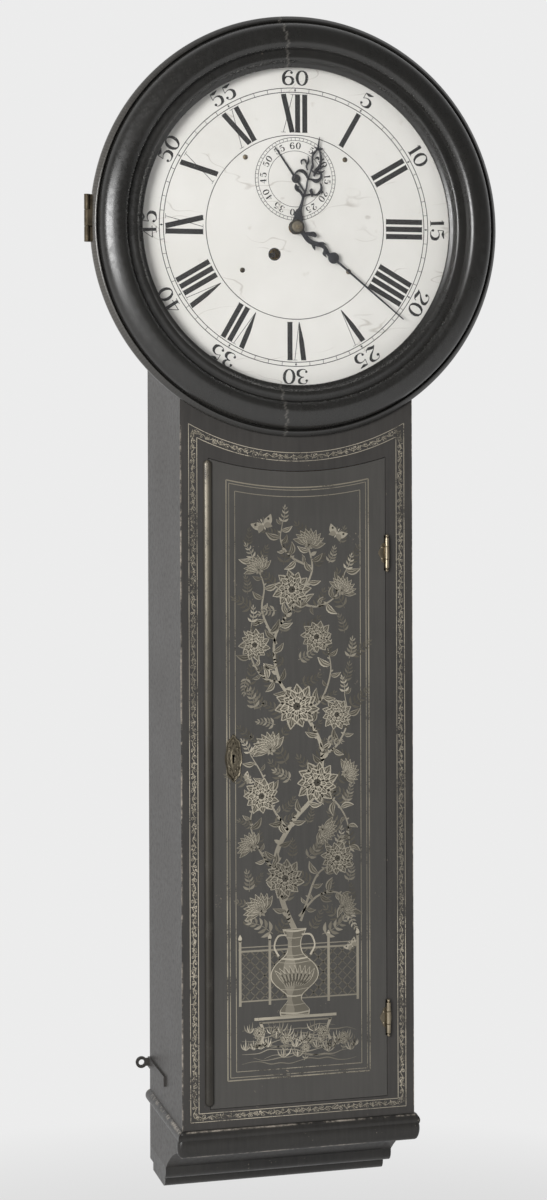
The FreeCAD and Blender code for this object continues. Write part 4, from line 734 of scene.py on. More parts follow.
def figures(surface, text, tall, level, warp, wide=1.42):
    """Figures side by side, centred, scaled to a height, each stroke laid down through a warp."""
    advance = [0.56 if figure == "1" else 0.96 for figure in text]
    place = -sum(advance) / 2
    for figure, step in zip(text, advance):
        for path, widths in DIGITS[figure]:
            path = (np.asarray(path, float) * (wide if figure != "1" else 1.0, 1) + (place + step / 2, 0)) * tall
            ribbon(surface, path, np.asarray(widths) * tall, level, 15, warp=warp)
        place += step


def ring_line(surface, radius, wide, level, centre=(0, 0), steps=240):
    """Thin painted ring between two radii."""
    turn = np.linspace(0, 2 * math.pi, steps, endpoint=False)
    rings = [np.stack([centre[0] + r * np.sin(turn), centre[1] + r * np.cos(turn)], 1)
             for r in (radius - wide / 2, radius + wide / 2)]
    surface.add(upright(np.vstack(rings), level), [grid(2, steps, wrap_columns=True)])


# Each Roman letter: its width, its strokes, half the width of its serifs and the places of the serifs.
# A stroke is two places, its widths and its steps. A place is (side, offset, height), where side is -1
# at the left of the letter, 0 in its middle and 1 at its right.
FOOT, HEAD = 118.6, 166.0
LETTERS = {
    "I": (9.3, [((0, 0, FOOT), (0, 0, HEAD), [6.5], 6)], 3.9, [(0, 0, FOOT), (0, 0, HEAD)]),
    "V": (15.5, [((-1, 2.4, HEAD), (0, 0.4, FOOT), [6.6, 6.6, 6.2, 3.6, 0.8], 9),
                 ((0, 0.6, FOOT), (1, -1.6, HEAD), [0.7], 6)], 3.2, [(-1, 2.2, HEAD), (1, -1.6, HEAD)]),
    "X": (15.5, [((-1, 1.8, HEAD), (1, -2.4, FOOT), [6.6], 6), ((1, -1.4, HEAD), (-1, 1.6, FOOT), [0.7], 6)], 3.0,
          [(-1, 1.8, HEAD), (1, -2.4, FOOT), (1, -1.4, HEAD), (-1, 1.6, FOOT)]),
}


def roman(surface, numeral, degrees, level):
    """Numeral with its foot to the centre: heavy strokes, hairlines for the light strokes, and serifs."""
    place = -sum(LETTERS[letter][0] for letter in numeral) / 2
    warp = radial(degrees)
    for letter in numeral:
        wide, strokes, half_serif, serifs = LETTERS[letter]
        sides = {-1: place, 0: (place + place + wide) / 2, 1: place + wide}
        for (side, x, z), (end_side, end_x, end_z), widths, steps in strokes:
            ribbon(surface, [(sides[side] + x, z), (sides[end_side] + end_x, end_z)], widths, level, steps, warp=warp)
        for side, x, z in serifs:
            middle = sides[side] + x
            ribbon(surface, [(middle - half_serif, z), (middle + half_serif, z)], [0.5], level, 3, warp=warp)
        place += wide


INK_LEVEL = DIAL_FACE - 0.06
FIGURE_LEVEL = INK_LEVEL - 0.01
RING_LEVEL = INK_LEVEL - 0.02
NUMERALS = "XII I II III IIII V VI VII VIII IX X XI".split()
MINUTE_RING = (168.7, 173.9)
SECONDS_RING = (48.0, 51.8)
SECONDS_CENTRE = (0.0, 60.4)
WINDING_HOLE = (-27.3, -34.2)


def dial_lettering():
    """Hours, minutes and seconds round their rings, and a line round the winding hole."""
    ink = Surface()
    for hour, numeral in enumerate(NUMERALS):
        roman(ink, numeral, hour * 30, INK_LEVEL)
    for minute in range(5, 65, 5):
        figures(ink, str(minute), 18.6, FIGURE_LEVEL, polar(177.6, minute * 6, 186.6))
    for radius in (115.0, *MINUTE_RING):
        ring_line(ink, radius, 0.95, RING_LEVEL)
    for minute in range(60):
        warp = radial(minute * 6)
        ribbon(ink, [(0, radius) for radius in MINUTE_RING], [0.62], INK_LEVEL, 2, warp=warp)
        if minute % 5 == 0:
            lozenge = [(x, 171.3) for x in (-1.3, 0, 1.3)]
            ribbon(ink, lozenge, [0.3, 3.0, 0.3], INK_LEVEL - 0.015, 7, warp=warp)
    for radius, wide in ((35.0, 0.6), (SECONDS_RING[0], 0.6), (SECONDS_RING[1], 0.7)):
        ring_line(ink, radius, wide, RING_LEVEL, SECONDS_CENTRE, 140)
    for second in range(60):
        warp = radial(second * 6, SECONDS_CENTRE)
        ribbon(ink, [(0, radius) for radius in SECONDS_RING], [0.5], INK_LEVEL, 2, warp=warp)
    for second in range(5, 65, 5):
        figures(ink, str(second), 8.2, FIGURE_LEVEL, polar(37.6, second * 6, 41.5, SECONDS_CENTRE), 1.2)
    ring_line(ink, 7.2, 1.6, RING_LEVEL, WINDING_HOLE, 60)
    make("dial_lettering", ink, "case", INK, closed=False)


def dial_studs():
    """Riveted ends of the four dial feet, turned about Y."""
    studs = Surface()
    for x, z in ((-64.5, 86.0), (64.5, 86.0), (-68.7, -54.6), (68.7, -54.6)):
        turning(studs, [(6.4, 3.2), (5.6, 3.2), (5.0, 2.5), (4.7, 1.2)], 20, (x, 0, z))
    make("dial_studs", studs, "case", DARK_BRASS)


dial_lettering()
dial_studs()


# Hands


def hand_piece(name, strokes, knobs, angle, level, thick, body, node, centre=(0, 0), bold=1.5):
    """Pierced hand from strokes (points, widths) and bosses (x, z, radius), drawn pointing up."""
    surface = Surface()
    warp = radial(angle, centre)
    for path, widths in strokes:
        grown = bold if max(widths) > 2.6 or len(path) > 4 else 1.25
        strand(surface, path, np.asarray(widths) * grown, level, thick, 18, warp)
    half = thick / 2
    for x, z, radius in knobs:
        place = warp(np.array([[x, z]], float))[0]
        profile = [(half, radius * 0.93), (half * 0.5, radius), (-half * 0.5, radius), (-half, radius * 0.9)]
        turning(surface, profile, 28, (place[0], level, place[1]))
    make(name, surface, body, BLUED_STEEL, sharp=60, replaces=(node,))


# Strokes as points and widths. The hour hand is drawn leaning by 2.4 degrees and turned back.
HOUR_LEAN = 2.4
HOUR_STROKES = [
    ([(0, 6), (0, 12), (-0.6, 20), (0.3, 29), (0.6, 41)], [9.4, 9.0, 6.4, 3.4, 2.4, 2.2]),
    ([(-3.0, 10), (-5.4, 15), (-5.0, 19.5)], [2.4, 2.0, 0.5]),
    ([(0.4, 38), (2.0, 50), (1.6, 60), (3.0, 72), (2.6, 80)], [2.4, 1.6, 1.5, 1.4, 1.2]),
    ([(0.2, 39), (-4.0, 43.5), (-9.5, 46.5), (-12.5, 52)], [2.6, 2.2, 2.6, 3.4, 3.8, 1.0]),
    ([(-6.4, 43.8), (-9.5, 47.4), (-7.4, 50.2)], [1.0, 2.6, 1.0]),
    ([(0.4, 40), (4.8, 42.0), (10.0, 44.6), (16.5, 45.4), (20.5, 50.5), (20.8, 56.5), (17.8, 61)],
     [2.4, 1.8, 1.6, 1.8, 2.8, 2.2, 1.0]),
    ([(11.5, 41.6), (10.6, 45.6), (8.6, 48.6), (9.4, 51.4)], [1.6, 2.6, 3.0, 1.4]),
    ([(20.2, 51.0), (24.5, 50.0)], [2.6, 0.4]),
    ([(1.6, 62), (-2.5, 67.5), (-7.4, 70), (-12.8, 69.0), (-16.0, 63.6), (-15.2, 58.0)],
     [1.4, 2.8, 3.4, 1.8, 1.6, 2.6]),
    ([(1.8, 62), (6.2, 62.6), (12.4, 62.0), (17.0, 66.0), (17.4, 71.2), (13.4, 73.4)],
     [1.4, 1.8, 3.8, 2.4, 2.2, 1.0]),
    ([(-1.2, 72.6), (-3.8, 77.5), (-2.4, 84.0), (-4.6, 90.5)], [1.4, 2.0, 2.2, 0.5]),
    ([(-3.0, 78.6), (-7.6, 84.4), (-11.6, 82.0), (-10.0, 77.8)], [1.6, 2.0, 1.8, 1.0]),
    ([(2.6, 73), (4.2, 79), (2.2, 86), (1.6, 93), (4.4, 99.4), (6.6, 103)], [1.4, 2.2, 1.6, 2.2, 1.8, 1.2]),
    ([(8.4, 67), (9.6, 74.4), (12.6, 80), (13.4, 86.6), (12.0, 93.6), (7.4, 103)], [1.4, 3.6, 3.0, 2.0, 2.2, 1.2]),
    ([(8.0, 76.0), (14.8, 79.4), (18.0, 84.0)], [1.4, 2.4, 0.5]),
    ([(9.6, 74.0), (16.8, 74.6), (20.4, 78.0)], [1.4, 2.2, 0.5]),
    ([(2.2, 74.6), (7.8, 72.0), (14.6, 71.4)], [1.0, 2.0, 1.0]),
    ([(5.2, 88.6), (8.0, 91.2), (10.2, 88.4)], [0.8, 2.6, 0.8]),
    ([(0.8, 103.4), (6.8, 101.8), (12.4, 104.4)], [0.5, 2.8, 0.5]),
    ([(6.4, 102.0), (5.8, 108.0), (5.2, 117.0)], [2.6, 2.0, 1.6, 0.6]),
]
MINUTE_STROKES = [
    ([(0, 7), (1.4, 13), (3.4, 21), (2.4, 28), (-0.8, 34.5), (-3.0, 40.5), (-2.4, 47), (-0.4, 52)],
     [5.0, 4.2, 4.4, 4.2, 4.4, 3.6, 3.0, 2.4]),
    ([(0.6, 12), (-3.4, 17.6), (-6.6, 22.4), (-6.4, 26.6)], [2.0, 3.6, 4.8, 2.4]),
    ([(2.6, 28.4), (5.6, 33.0), (7.6, 36.4)], [3.6, 2.6, 0.4]),
    ([(-1.8, 35.0), (-5.4, 38.2), (-7.4, 42.6)], [3.4, 2.6, 0.4]),
    ([(-2.4, 45.0), (1.2, 47.6), (3.4, 48.2), (5.0, 53.4)], [2.6, 3.6, 3.0, 0.4]),
    ([(0.0, 50), (0.0, 55)], [3.0, 3.6]),
    ([(-0.2, 66), (-0.2, 90), (0.0, 140), (0.0, 180)], [2.6, 2.2, 2.0, 1.7, 1.2]),
]
SECONDS_STROKES = [
    ([(0, -4), (0, 4)], [5.0]), ([(0, 3), (0, 30), (0, 48)], [2.4, 1.9, 1.5, 0.6]),
    ([(0, -4), (0, -14), (0, -21)], [2.4, 1.8, 1.4]),
]
HOUR_UPRIGHT = [(radial(-HOUR_LEAN)(np.asarray(path, float)), widths) for path, widths in HOUR_STROKES]
hand_piece("hour_hand_pierced", HOUR_UPRIGHT, [(0, 0, 9.2)], 14.9, 1.5, 1.0, "hour_wheel", "hour_hand")
hand_piece("minute_hand_scrolled", MINUTE_STROKES, [(0, 0, 9.2), (-0.6, 60.9, 7.2)], 129.4, -0.9, 1.0,
           "centre_wheel", "minute_hand")
hand_piece("seconds_needle", SECONDS_STROKES, [(0, 0, 5.6)], -34.7, 3.4, 0.8, "escape_wheel", "seconds_hand",
           SECONDS_CENTRE, 1.2)


def collet_and_pin():
    """Collet in two turned steps about Y, the outer one dark, with a cross pin and the arbor's end."""
    collet = Surface()
    turning(collet, [(-1.55, 9.2), (-2.2, 9.45), (-2.7, 9.3), (-3.1, 8.2), (-3.3, 7.4)], 48, tone=0.12)
    turning(collet, [(-3.1, 6.9), (-3.5, 6.8), (-3.8, 5.9), (-3.95, 3.4), (-4.0, 1.9)], 48, tone=0.8)
    strand(collet, [(-5.4, -2.2), (5.2, 2.4)], [1.2, 1.5, 1.2], -4.0, 1.1, 8)
    turning(collet, [(-3.9, 1.8), (-4.4, 1.75), (-4.7, 1.2)], 20)
    make("collet_and_pin", collet, "centre_wheel", PLATE_BRASS, sharp=45, replaces=("hand_collet",))


collet_and_pin()


# Painted borders


def ways(heading):
    """Unit vectors ahead and to the right of a heading, given in degrees clockwise from up."""
    angle = math.radians(heading)
    return np.array([math.sin(angle), math.cos(angle)]), np.array([math.cos(angle), -math.sin(angle)])


def heading_of(way):
    """Heading of a flat vector, in degrees clockwise from up."""
    return math.degrees(math.atan2(way[0], way[1]))


def spiral(x, z, size, first, turns, steps=9):
    """Scroll: a line that winds in from a radius of size to a fifth of it."""
    turn = np.radians(first) + np.linspace(0, turns * 2 * math.pi, steps)
    reach = size * np.linspace(1, 0.2, steps)
    return np.stack([x + reach * np.cos(turn), z + reach * np.sin(turn)], 1)


def leaf(surface, x, z, heading, length, wide, level, tone=1.0, bend=0.15, warp=None, steps=8):
    """Leaf: a bent stroke whose width swells and ends in a point."""
    ahead, side = ways(heading)
    base = np.array([x, z])
    path = [base, base + ahead * length * 0.5 + side * length * bend, base + ahead * length]
    ribbon(surface, path, np.array([0.12, 0.7, 1.0, 0.86, 0.5, 0.06]) * wide, level, steps, tone, warp)


def vine(surface, length, warp, level, pitch=17.0, reach=3.3):
    """Running scroll between two lines: a sine wave with spirals, leaves and small flowers in its bends."""
    count = max(int(round(length / pitch)), 1)
    pitch = length / count
    run = np.linspace(0, length, count * 10 + 1)
    wave = np.stack([run, reach * 0.5 * np.sin(run / pitch * 2 * math.pi)], 1)
    ribbon(surface, wave, [0.75], level, count * 14, 0.7, warp)
    for index in range(count * 2):
        s = (index + 0.5) * pitch / 2
        up = 1 if index % 2 == 0 else -1
        tone = chance.uniform(0.35, 1.0)
        size = chance.uniform(2.0, 2.9)
        scroll = spiral(s + chance.uniform(-1, 1), -up * 1.6, size, 90 * up, up * 1.2)
        ribbon(surface, scroll, [0.55, 0.5, 0.45, 0.7], level - 0.01, 10, tone, warp)
        for turn in (28, 62, 96, -20, -58, -92, 140):
            heading = 90 + up * turn + chance.uniform(-14, 14)
            x = s - 2.0 + chance.uniform(-2.4, 2.4)
            z = up * chance.uniform(-1.2, 2.2)
            size = (chance.uniform(1.9, 3.6), chance.uniform(0.7, 1.2))
            leaf(surface, x, z, heading, *size, level - 0.02, chance.uniform(0.35, 1.0), 0.14 * up, warp, 5)
        if index % 3 == 0:
            for turn in range(5):
                leaf(surface, s + 3.0, -up * 2.2, turn * 72 + 10, 1.5, 0.9, level - 0.03, tone, 0, warp, 4)


def straight_band(start, end):
    """Map (distance, offset) onto a straight line from start to end."""
    start = np.asarray(start, float)
    way = np.asarray(end, float) - start
    way /= np.linalg.norm(way)
    side = np.array([-way[1], way[0]])
    return lambda flat: start + flat[:, :1] * way + flat[:, 1:] * side


def arc_band(radius, first):
    """Map (distance, offset) onto a ring round the dial, from an angle in degrees round by the foot."""
    start = math.radians(first)

    def warp(flat):
        turn = start + flat[:, 0] / radius
        reach = radius + flat[:, 1]
        return np.stack([reach * np.cos(turn), reach * np.sin(turn)], 1)

    return warp


def bowed_frame(surface, x, low, middle, radius, wide, level, tone, foot_steps, bow_steps):
    """Line round a field: two sides, a foot and a top that is an arc round a middle above it."""
    top = middle - math.sqrt(radius**2 - x**2)
    for sign in (-1, 1):
        ribbon(surface, [(sign * x, top), (sign * x, low)], [wide], level, 90, tone)
    ribbon(surface, [(-x, low), (x, low)], [wide], level, foot_steps, tone)
    angle = math.degrees(math.asin(x / radius))
    bow = arc_points(0, middle, radius, radius, 270 - angle, 270 + angle, 40)
    ribbon(surface, bow, [wide], level, bow_steps, tone)


PAINT_LEVEL = -0.05
BAND_X = 134.0
BAND_LOW = -1102.0
BAND_BOW = 287.0
HALF_BAND = 5.2


def front_border():
    """Gilt band round the trunk front: scrolls between two fine lines, bowed under the dial."""
    border = Surface()
    turn = math.degrees(math.acos(BAND_X / BAND_BOW))
    bow_length = math.radians(180 - 2 * turn) * BAND_BOW
    top = -math.sqrt(BAND_BOW**2 - BAND_X**2)
    vine(border, bow_length, arc_band(BAND_BOW, 180 + turn), PAINT_LEVEL)
    for x in (-BAND_X, BAND_X):
        vine(border, top - BAND_LOW, straight_band((x, top), (x, BAND_LOW)), PAINT_LEVEL)
    vine(border, 2 * BAND_X, straight_band((-BAND_X, BAND_LOW), (BAND_X, BAND_LOW)), PAINT_LEVEL)
    for offset in (-HALF_BAND, HALF_BAND):
        bowed_frame(border, BAND_X - offset, BAND_LOW + offset, 0, BAND_BOW + offset, 0.75, PAINT_LEVEL - 0.04, 1.0,
                    40, 90)
    make("front_border", border, "case", BORDER_GILT, closed=False)


front_border()


# Door painting: flowering stems from a vase before a lattice fence, with moths and a bank of grass

DOOR_LEVEL = DOOR_FACE - 0.03
DOOR_BOW_MIDDLE = 88.4
PETAL = np.array([0.16, 0.5, 0.82, 1.0, 0.92, 0.5, 0.08])


def petal(surface, x, z, heading, length, wide, level, tone=1.0, bend=0.05):
    """Petal drawn as a bright edge, a dimmer inside and fine lines; its width swells towards the tip."""
    ahead, side = ways(heading)
    base = np.array([x, z])
    for share, width, shade, step in ((1.0, 1.0, tone, 0), (0.93, 0.72, tone * 0.36, 0.012)):
        path = [base, base + ahead * length * share * 0.5 + side * length * bend, base + ahead * length * share]
        ribbon(surface, path, PETAL * wide * width, level - step, 9, shade)
    for lean in (-0.2, 0.0, 0.2):
        path = [base + ahead * length * 0.2, base + ahead * length * 0.55 + side * (length * bend + wide * lean * 0.8),
                base + ahead * length * 0.84 + side * wide * lean * 1.2]
        ribbon(surface, path, [wide * 0.05, wide * 0.1, wide * 0.03], level - 0.024, 5, tone * 0.85)


def spot(surface, x, z, wide, level, steps, tone):
    """Round dot: a small ring as wide as its own stroke."""
    ribbon(surface, arc_points(x, z, wide / 2, wide / 2, 0, 360, 7), [wide], level, steps, tone)


def flower(surface, x, z, size, level, petals=9, tone=1.0, lean=0.0):
    """Open flower: three rounds of petals, each smaller and nearer, and a dotted heart."""
    for step, (share, count, shade) in enumerate(((1.0, petals + 1, 0.75), (0.74, petals - 1, 0.9),
                                                  (0.46, petals - 4, 1.0))):
        for index in range(count):
            heading = lean + (index + 0.5 * step) * 360 / count
            uneven = 0.94 + 0.06 * math.sin(index * 2.4)
            petal(surface, x, z, heading, size * share * uneven, size * share * 5.6 / count, level - 0.03 * step,
                  shade * tone)
    for ring, count, wide, shade in ((0.0, 1, 0.16, 0.2), (0.13, 7, 0.055, 0.2), (0.2, 11, 0.045, 1.0)):
        for dot in range(count):
            angle = dot * 2 * math.pi / count + lean
            spot(surface, x + size * ring * math.cos(angle), z + size * ring * math.sin(angle), size * wide,
                 level - 0.11 - 0.002 * count, 7, shade)


def fan_bloom(surface, x, z, size, lean, level):
    """Side view of a full bloom: layers of rounded petals opening from a calyx."""
    for layer, (share, count, spread, shade) in enumerate(((1.0, 9, 150, 0.7), (0.82, 8, 118, 0.85),
                                                           (0.62, 6, 86, 1.0), (0.4, 4, 50, 0.8))):
        for index in range(count):
            heading = lean - spread / 2 + spread * index / (count - 1)
            petal(surface, x, z, heading, size * share, size * share * 0.34, level - 0.03 * layer, shade, 0.06)
    for heading in (lean - 120, lean + 120, lean + 180):
        leaf(surface, x, z, heading, size * 0.28, size * 0.16, level - 0.12, 0.6, 0.1, steps=5)


def veined_leaf(surface, x, z, heading, length, wide, level, tone, bend):
    """Leaf with a bright edge, a dimmer inside and a middle vein."""
    leaf(surface, x, z, heading, length, wide, level, tone, bend, steps=9)
    leaf(surface, x, z, heading, length * 0.92, wide * 0.66, level - 0.012, tone * 0.4, bend, steps=7)
    leaf(surface, x, z, heading, length * 0.86, wide * 0.14, level - 0.024, tone * 0.9, bend, steps=5)


def spray(surface, x, z, heading, length, level, count=6, tone=0.7, wide=0.36):
    """Twig with paired leaves that shorten to its tip."""
    ahead, side = ways(heading)
    start = np.array([x, z])
    tip = start + ahead * length
    twig = [start, start + ahead * length * 0.5 + side * length * 0.08, tip]
    ribbon(surface, twig, [0.9, 0.5], level, 10, tone * 0.9)
    for index in range(count):
        share = (index + 0.6) / count
        place = start + ahead * length * share + side * length * 0.08 * math.sin(share * math.pi)
        size = length * (0.42 - 0.2 * share)
        for way in (-1, 1):
            shade = tone * (0.75 + 0.25 * ((index + way) % 2))
            leaf(surface, *place, heading + way * (58 - 22 * share), size, size * wide, level - 0.02, shade, 0.1 * way,
                 steps=7)
    leaf(surface, *tip, heading, length * 0.22, length * 0.08, level - 0.02, tone, 0, steps=5)


def stem(surface, path, thick, thin, level, tone, knots):
    """Woody stem that tapers, with small knots along it."""
    ribbon(surface, path, [thick, (thick + thin) / 2, thin], level, 10 * len(path), tone)
    for index, place in enumerate(smooth_path(path, knots + 2)[1:-1]):
        leaf(surface, *place, 60 if index % 2 else -60, thick * 1.3, thick * 0.8, level - 0.01, tone, 0, steps=4)


def leafy(surface, path, steps, first, level, look):
    """Veined leaves on alternate sides of a path; look gives side, spread, length, width, tone and bend."""
    line = smooth_path(path, steps)
    for step in range(first, steps):
        side, spread, length, wide, tone, bend = look(step)
        heading = heading_of(line[step] - line[step - 1])
        veined_leaf(surface, *line[step], heading + side * spread, length, wide, level, tone, bend * side)
    return line


def moth(surface, x, z, size, lean, level, tone=1.0):
    """Moth: two upper and two lower wings with dark spots, a body and feelers."""
    middle = np.array([x, z])
    for way in (-1, 1):
        leaf(surface, x, z, lean + way * 58, size, size * 0.62, level, 0.85 * tone, 0.1 * way, steps=8)
        leaf(surface, x, z, lean + way * 122, size * 0.66, size * 0.46, level - 0.01, 0.6 * tone, -0.12 * way, steps=8)
        spot(surface, *(middle + ways(lean + way * 60)[0] * size * 0.62), size * 0.1, level - 0.03, 8, 0.1)
        feeler = [middle, middle + ways(lean + way * 22)[0] * size * 0.62]
        ribbon(surface, feeler, [size * 0.03], level - 0.02, 4, 0.7)
    for share in (-0.34, 0.0, 0.28):
        place = middle + ways(lean)[0] * size * share
        leaf(surface, *place, lean, size * 0.28, size * 0.13, level - 0.03, tone, 0, steps=5)


def lattice(surface, x_low, x_high, z_low, z_high, pitch, level, tone):
    """Fence of crossed bars between rails; a bar that meets the side ends there."""
    tall = z_high - z_low
    for index in range(int((x_high - x_low) / pitch) + 1):
        x = x_low + index * pitch
        for way in (-1, 1):
            end = min(max(x + way * tall, x_low), x_high)
            reach = abs(end - x)
            if reach > 1:
                ribbon(surface, [(x, z_low), (end, z_low + reach)], [0.9], level, 3, tone)
                ribbon(surface, [(x, z_high), (end, z_high - reach)], [0.9], level, 3, tone * 0.9)
    for z, wide in ((z_low, 1.8), (z_high, 2.4), (z_high + 5, 1.2)):
        ribbon(surface, [(x_low, z), (x_high, z)], [wide], level - 0.01, 3, tone * 1.4)


def vase(surface, x, z, tall, wide, level):
    """Footed vase: foot, body and neck from one stroke whose width follows a smooth curve, with bands."""
    knots = np.array([0.60, 0.62, 0.46, 0.30, 0.34, 0.56, 0.80, 0.96, 1.0, 0.95, 0.82, 0.60, 0.38, 0.29, 0.27, 0.30,
                      0.42, 0.50])
    outline = smooth_path(np.stack([np.arange(len(knots)), knots], 1), 90)[:, 1] * wide
    left = x - wide * 0.1
    ribbon(surface, [(x, z), (x, z + tall)], outline, level, 90, 0.95)
    ribbon(surface, [(x, z + 0.8), (x, z + tall - 0.8)], outline - 2.2, level - 0.012, 90, 0.40)
    ribbon(surface, [(left, z + 1), (left, z + tall - 1)], outline * 0.3, level - 0.02, 90, 0.58)
    for share, thick, tone in ((0.04, 2.2, 0.9), (0.13, 1.0, 0.8), (0.23, 1.6, 0.95), (0.31, 0.9, 0.75),
                               (0.62, 0.9, 0.75), (0.66, 2.4, 0.9), (0.70, 0.9, 0.75), (0.80, 1.0, 0.8),
                               (0.90, 1.0, 0.8), (0.985, 2.4, 1.0)):
        half = np.interp(share, np.linspace(0, 1, 90), outline) / 2
        height = z + tall * share
        band = [(x - half, height), (x, height - half * 0.10), (x + half, height)]
        ribbon(surface, band, [thick * 0.7, thick, thick * 0.7], level - 0.035, 16, tone)
    for index in range(9):
        turn = (index - 4) / 4
        bottom = np.array([x + turn * wide * 0.16, z + tall * 0.33])
        top = np.array([x + turn * wide * 0.44, z + tall * (0.58 - 0.03 * turn * turn)])
        petal(surface, *bottom, heading_of(top - bottom), tall * 0.25, tall * 0.055, level - 0.03, 0.85)
    for way in (-1, 1):
        handle = [(x + way * wide * out, z + tall * up) for out, up in ((0.15, 0.93), (0.34, 0.92), (0.42, 0.80),
                                                                        (0.33, 0.69))]
        ribbon(surface, handle, [1.6, 2.4, 2.0, 2.6], level - 0.02, 16, 0.95)


def grass_bank(surface, level):
    """Bank at the foot: wavy ground lines, tufts and small open flowers."""
    for row in range(10):
        z = -1040.0 + row * 4.6 + 1.6 * math.sin(row * 2.1)
        x = np.linspace(-74 + 3.0 * (row % 3), 74 - 4.0 * (row % 4), 13)
        line = np.stack([x, z + 2.2 * np.sin(x / 13.0 + row * 1.3) + 1.2 * np.sin(x / 5.0 + row)], 1)
        cut = line[row % 3: 13 - (row * 2) % 4]
        ribbon(surface, cut, [0.3, 1.3, 0.7, 1.5, 0.3], level, 50, 0.45 + 0.05 * (row % 4))
    for index in range(30):
        x = -70 + index * 4.9 + chance.uniform(-1.5, 1.5)
        z = -1032 + chance.uniform(-4, 30)
        for blade in range(5):
            heading = -36 + blade * 18 + chance.uniform(-5, 5)
            leaf(surface, x, z, heading, chance.uniform(8, 17), 1.5, level - 0.02, chance.uniform(0.4, 0.95),
                 0.16 * (blade - 2) / 2, steps=6)
    for x, z, size in ((-52, -1002, 9), (-18, -1012, 7.5), (31, -1006, 9.5), (58, -1014, 7.5), (8, -1024, 6.5)):
        flower(surface, x, z, size, level - 0.04, 7, 0.95, chance.uniform(0, 60))
        spray(surface, x - 2, z - 16, 8, 13, level - 0.03, 3, 0.6)


def fence_and_table(surface, level):
    """Lattice fence with capped posts, and a low table with curved legs for the vase."""
    lattice(surface, -76, 76, -962, -900, 12.6, level, 0.4)
    for x in (-76, -38, 38, 76):
        ribbon(surface, [(x, -968), (x, -886)], [3.2], level - 0.02, 4, 0.62)
        leaf(surface, x, -888, 0, 9, 5.0, level - 0.02, 0.9, 0, steps=7)
    ribbon(surface, [(-58, -985), (48, -985)], [3.4], level - 0.03, 6, 0.8)
    ribbon(surface, [(-52, -990), (42, -990)], [2.0], level - 0.03, 6, 0.5)
    for x, knee in ((-50, -46), (40, 36)):
        ribbon(surface, [(x, -990), (knee, -1003), (x, -1016)], [4.0, 2.4, 3.6], level - 0.03, 12, 0.75)


MAIN_STEM = [(-6, -876), (-22, -838), (-30, -786), (-8, -742), (22, -706), (30, -652), (6, -604), (-24, -566),
             (-30, -512), (-4, -470), (18, -430), (12, -392)]
BRANCHES = [
    [(-26, -806), (-48, -780), (-62, -744), (-56, -712)], [(-14, -752), (-34, -722), (-46, -684), (-62, -656)],
    [(20, -708), (44, -716), (62, -742), (66, -776)], [(30, -662), (50, -648), (64, -618), (60, -584)],
    [(8, -606), (30, -590), (42, -556), (38, -524)], [(-22, -568), (-46, -560), (-62, -530), (-60, -494)],
    [(-28, -520), (-46, -480), (-44, -446), (-58, -414)], [(-2, -468), (24, -474), (48, -462), (62, -430)],
    [(0, -860), (24, -836), (52, -834), (66, -860)], [(2, -866), (22, -812), (42, -796), (50, -772)],
    [(16, -424), (-8, -412), (-22, -392), (-20, -370)],
]
# X, Z, size and lean of each flower and bloom; X, Z, heading and length of each spray.
OPEN_FLOWERS = [
    (-48, -708, 24, 10), (24, -694, 29, 40), (-2, -598, 30, 0), (50, -610, 21, 30), (-56, -520, 21, 70),
    (24, -512, 22, 15), (-8, -452, 26, 55), (50, -790, 23, 20), (-18, -812, 26, 5),
]
BLOOMS = [
    (-36, -652, 24, -30), (56, -456, 20, 25), (-50, -428, 20, -25), (14, -398, 22, 8), (60, -684, 19, 60),
    (-60, -772, 20, -50), (56, -852, 19, 60), (-48, -852, 24, -40), (30, -752, 20, 120),
]
SPRAYS = [
    (-34, -880, -62, 34), (30, -884, 58, 34), (-56, -600, -20, 26), (66, -540, 10, 24), (-66, -560, 190, 20),
    (0, -540, 60, 24), (-30, -620, -80, 22), (36, -640, 100, 20), (64, -820, 10, 22), (10, -788, 40, 26),
    (-64, -826, -8, 24), (-10, -690, -60, 24), (60, -720, 20, 22), (-28, -478, -100, 22), (40, -420, 20, 20),
]
# X, Z, size, lean, how far in front of the door, and tone.
MOTHS = [(-44, -372, 17, -25, 0.05, 1.0), (50, -384, 15, 30, 0.05, 1.0), (-66, -686, 10, 60, 0.06, 0.9),
         (68, -900, 11, -40, 0.06, 0.9)]


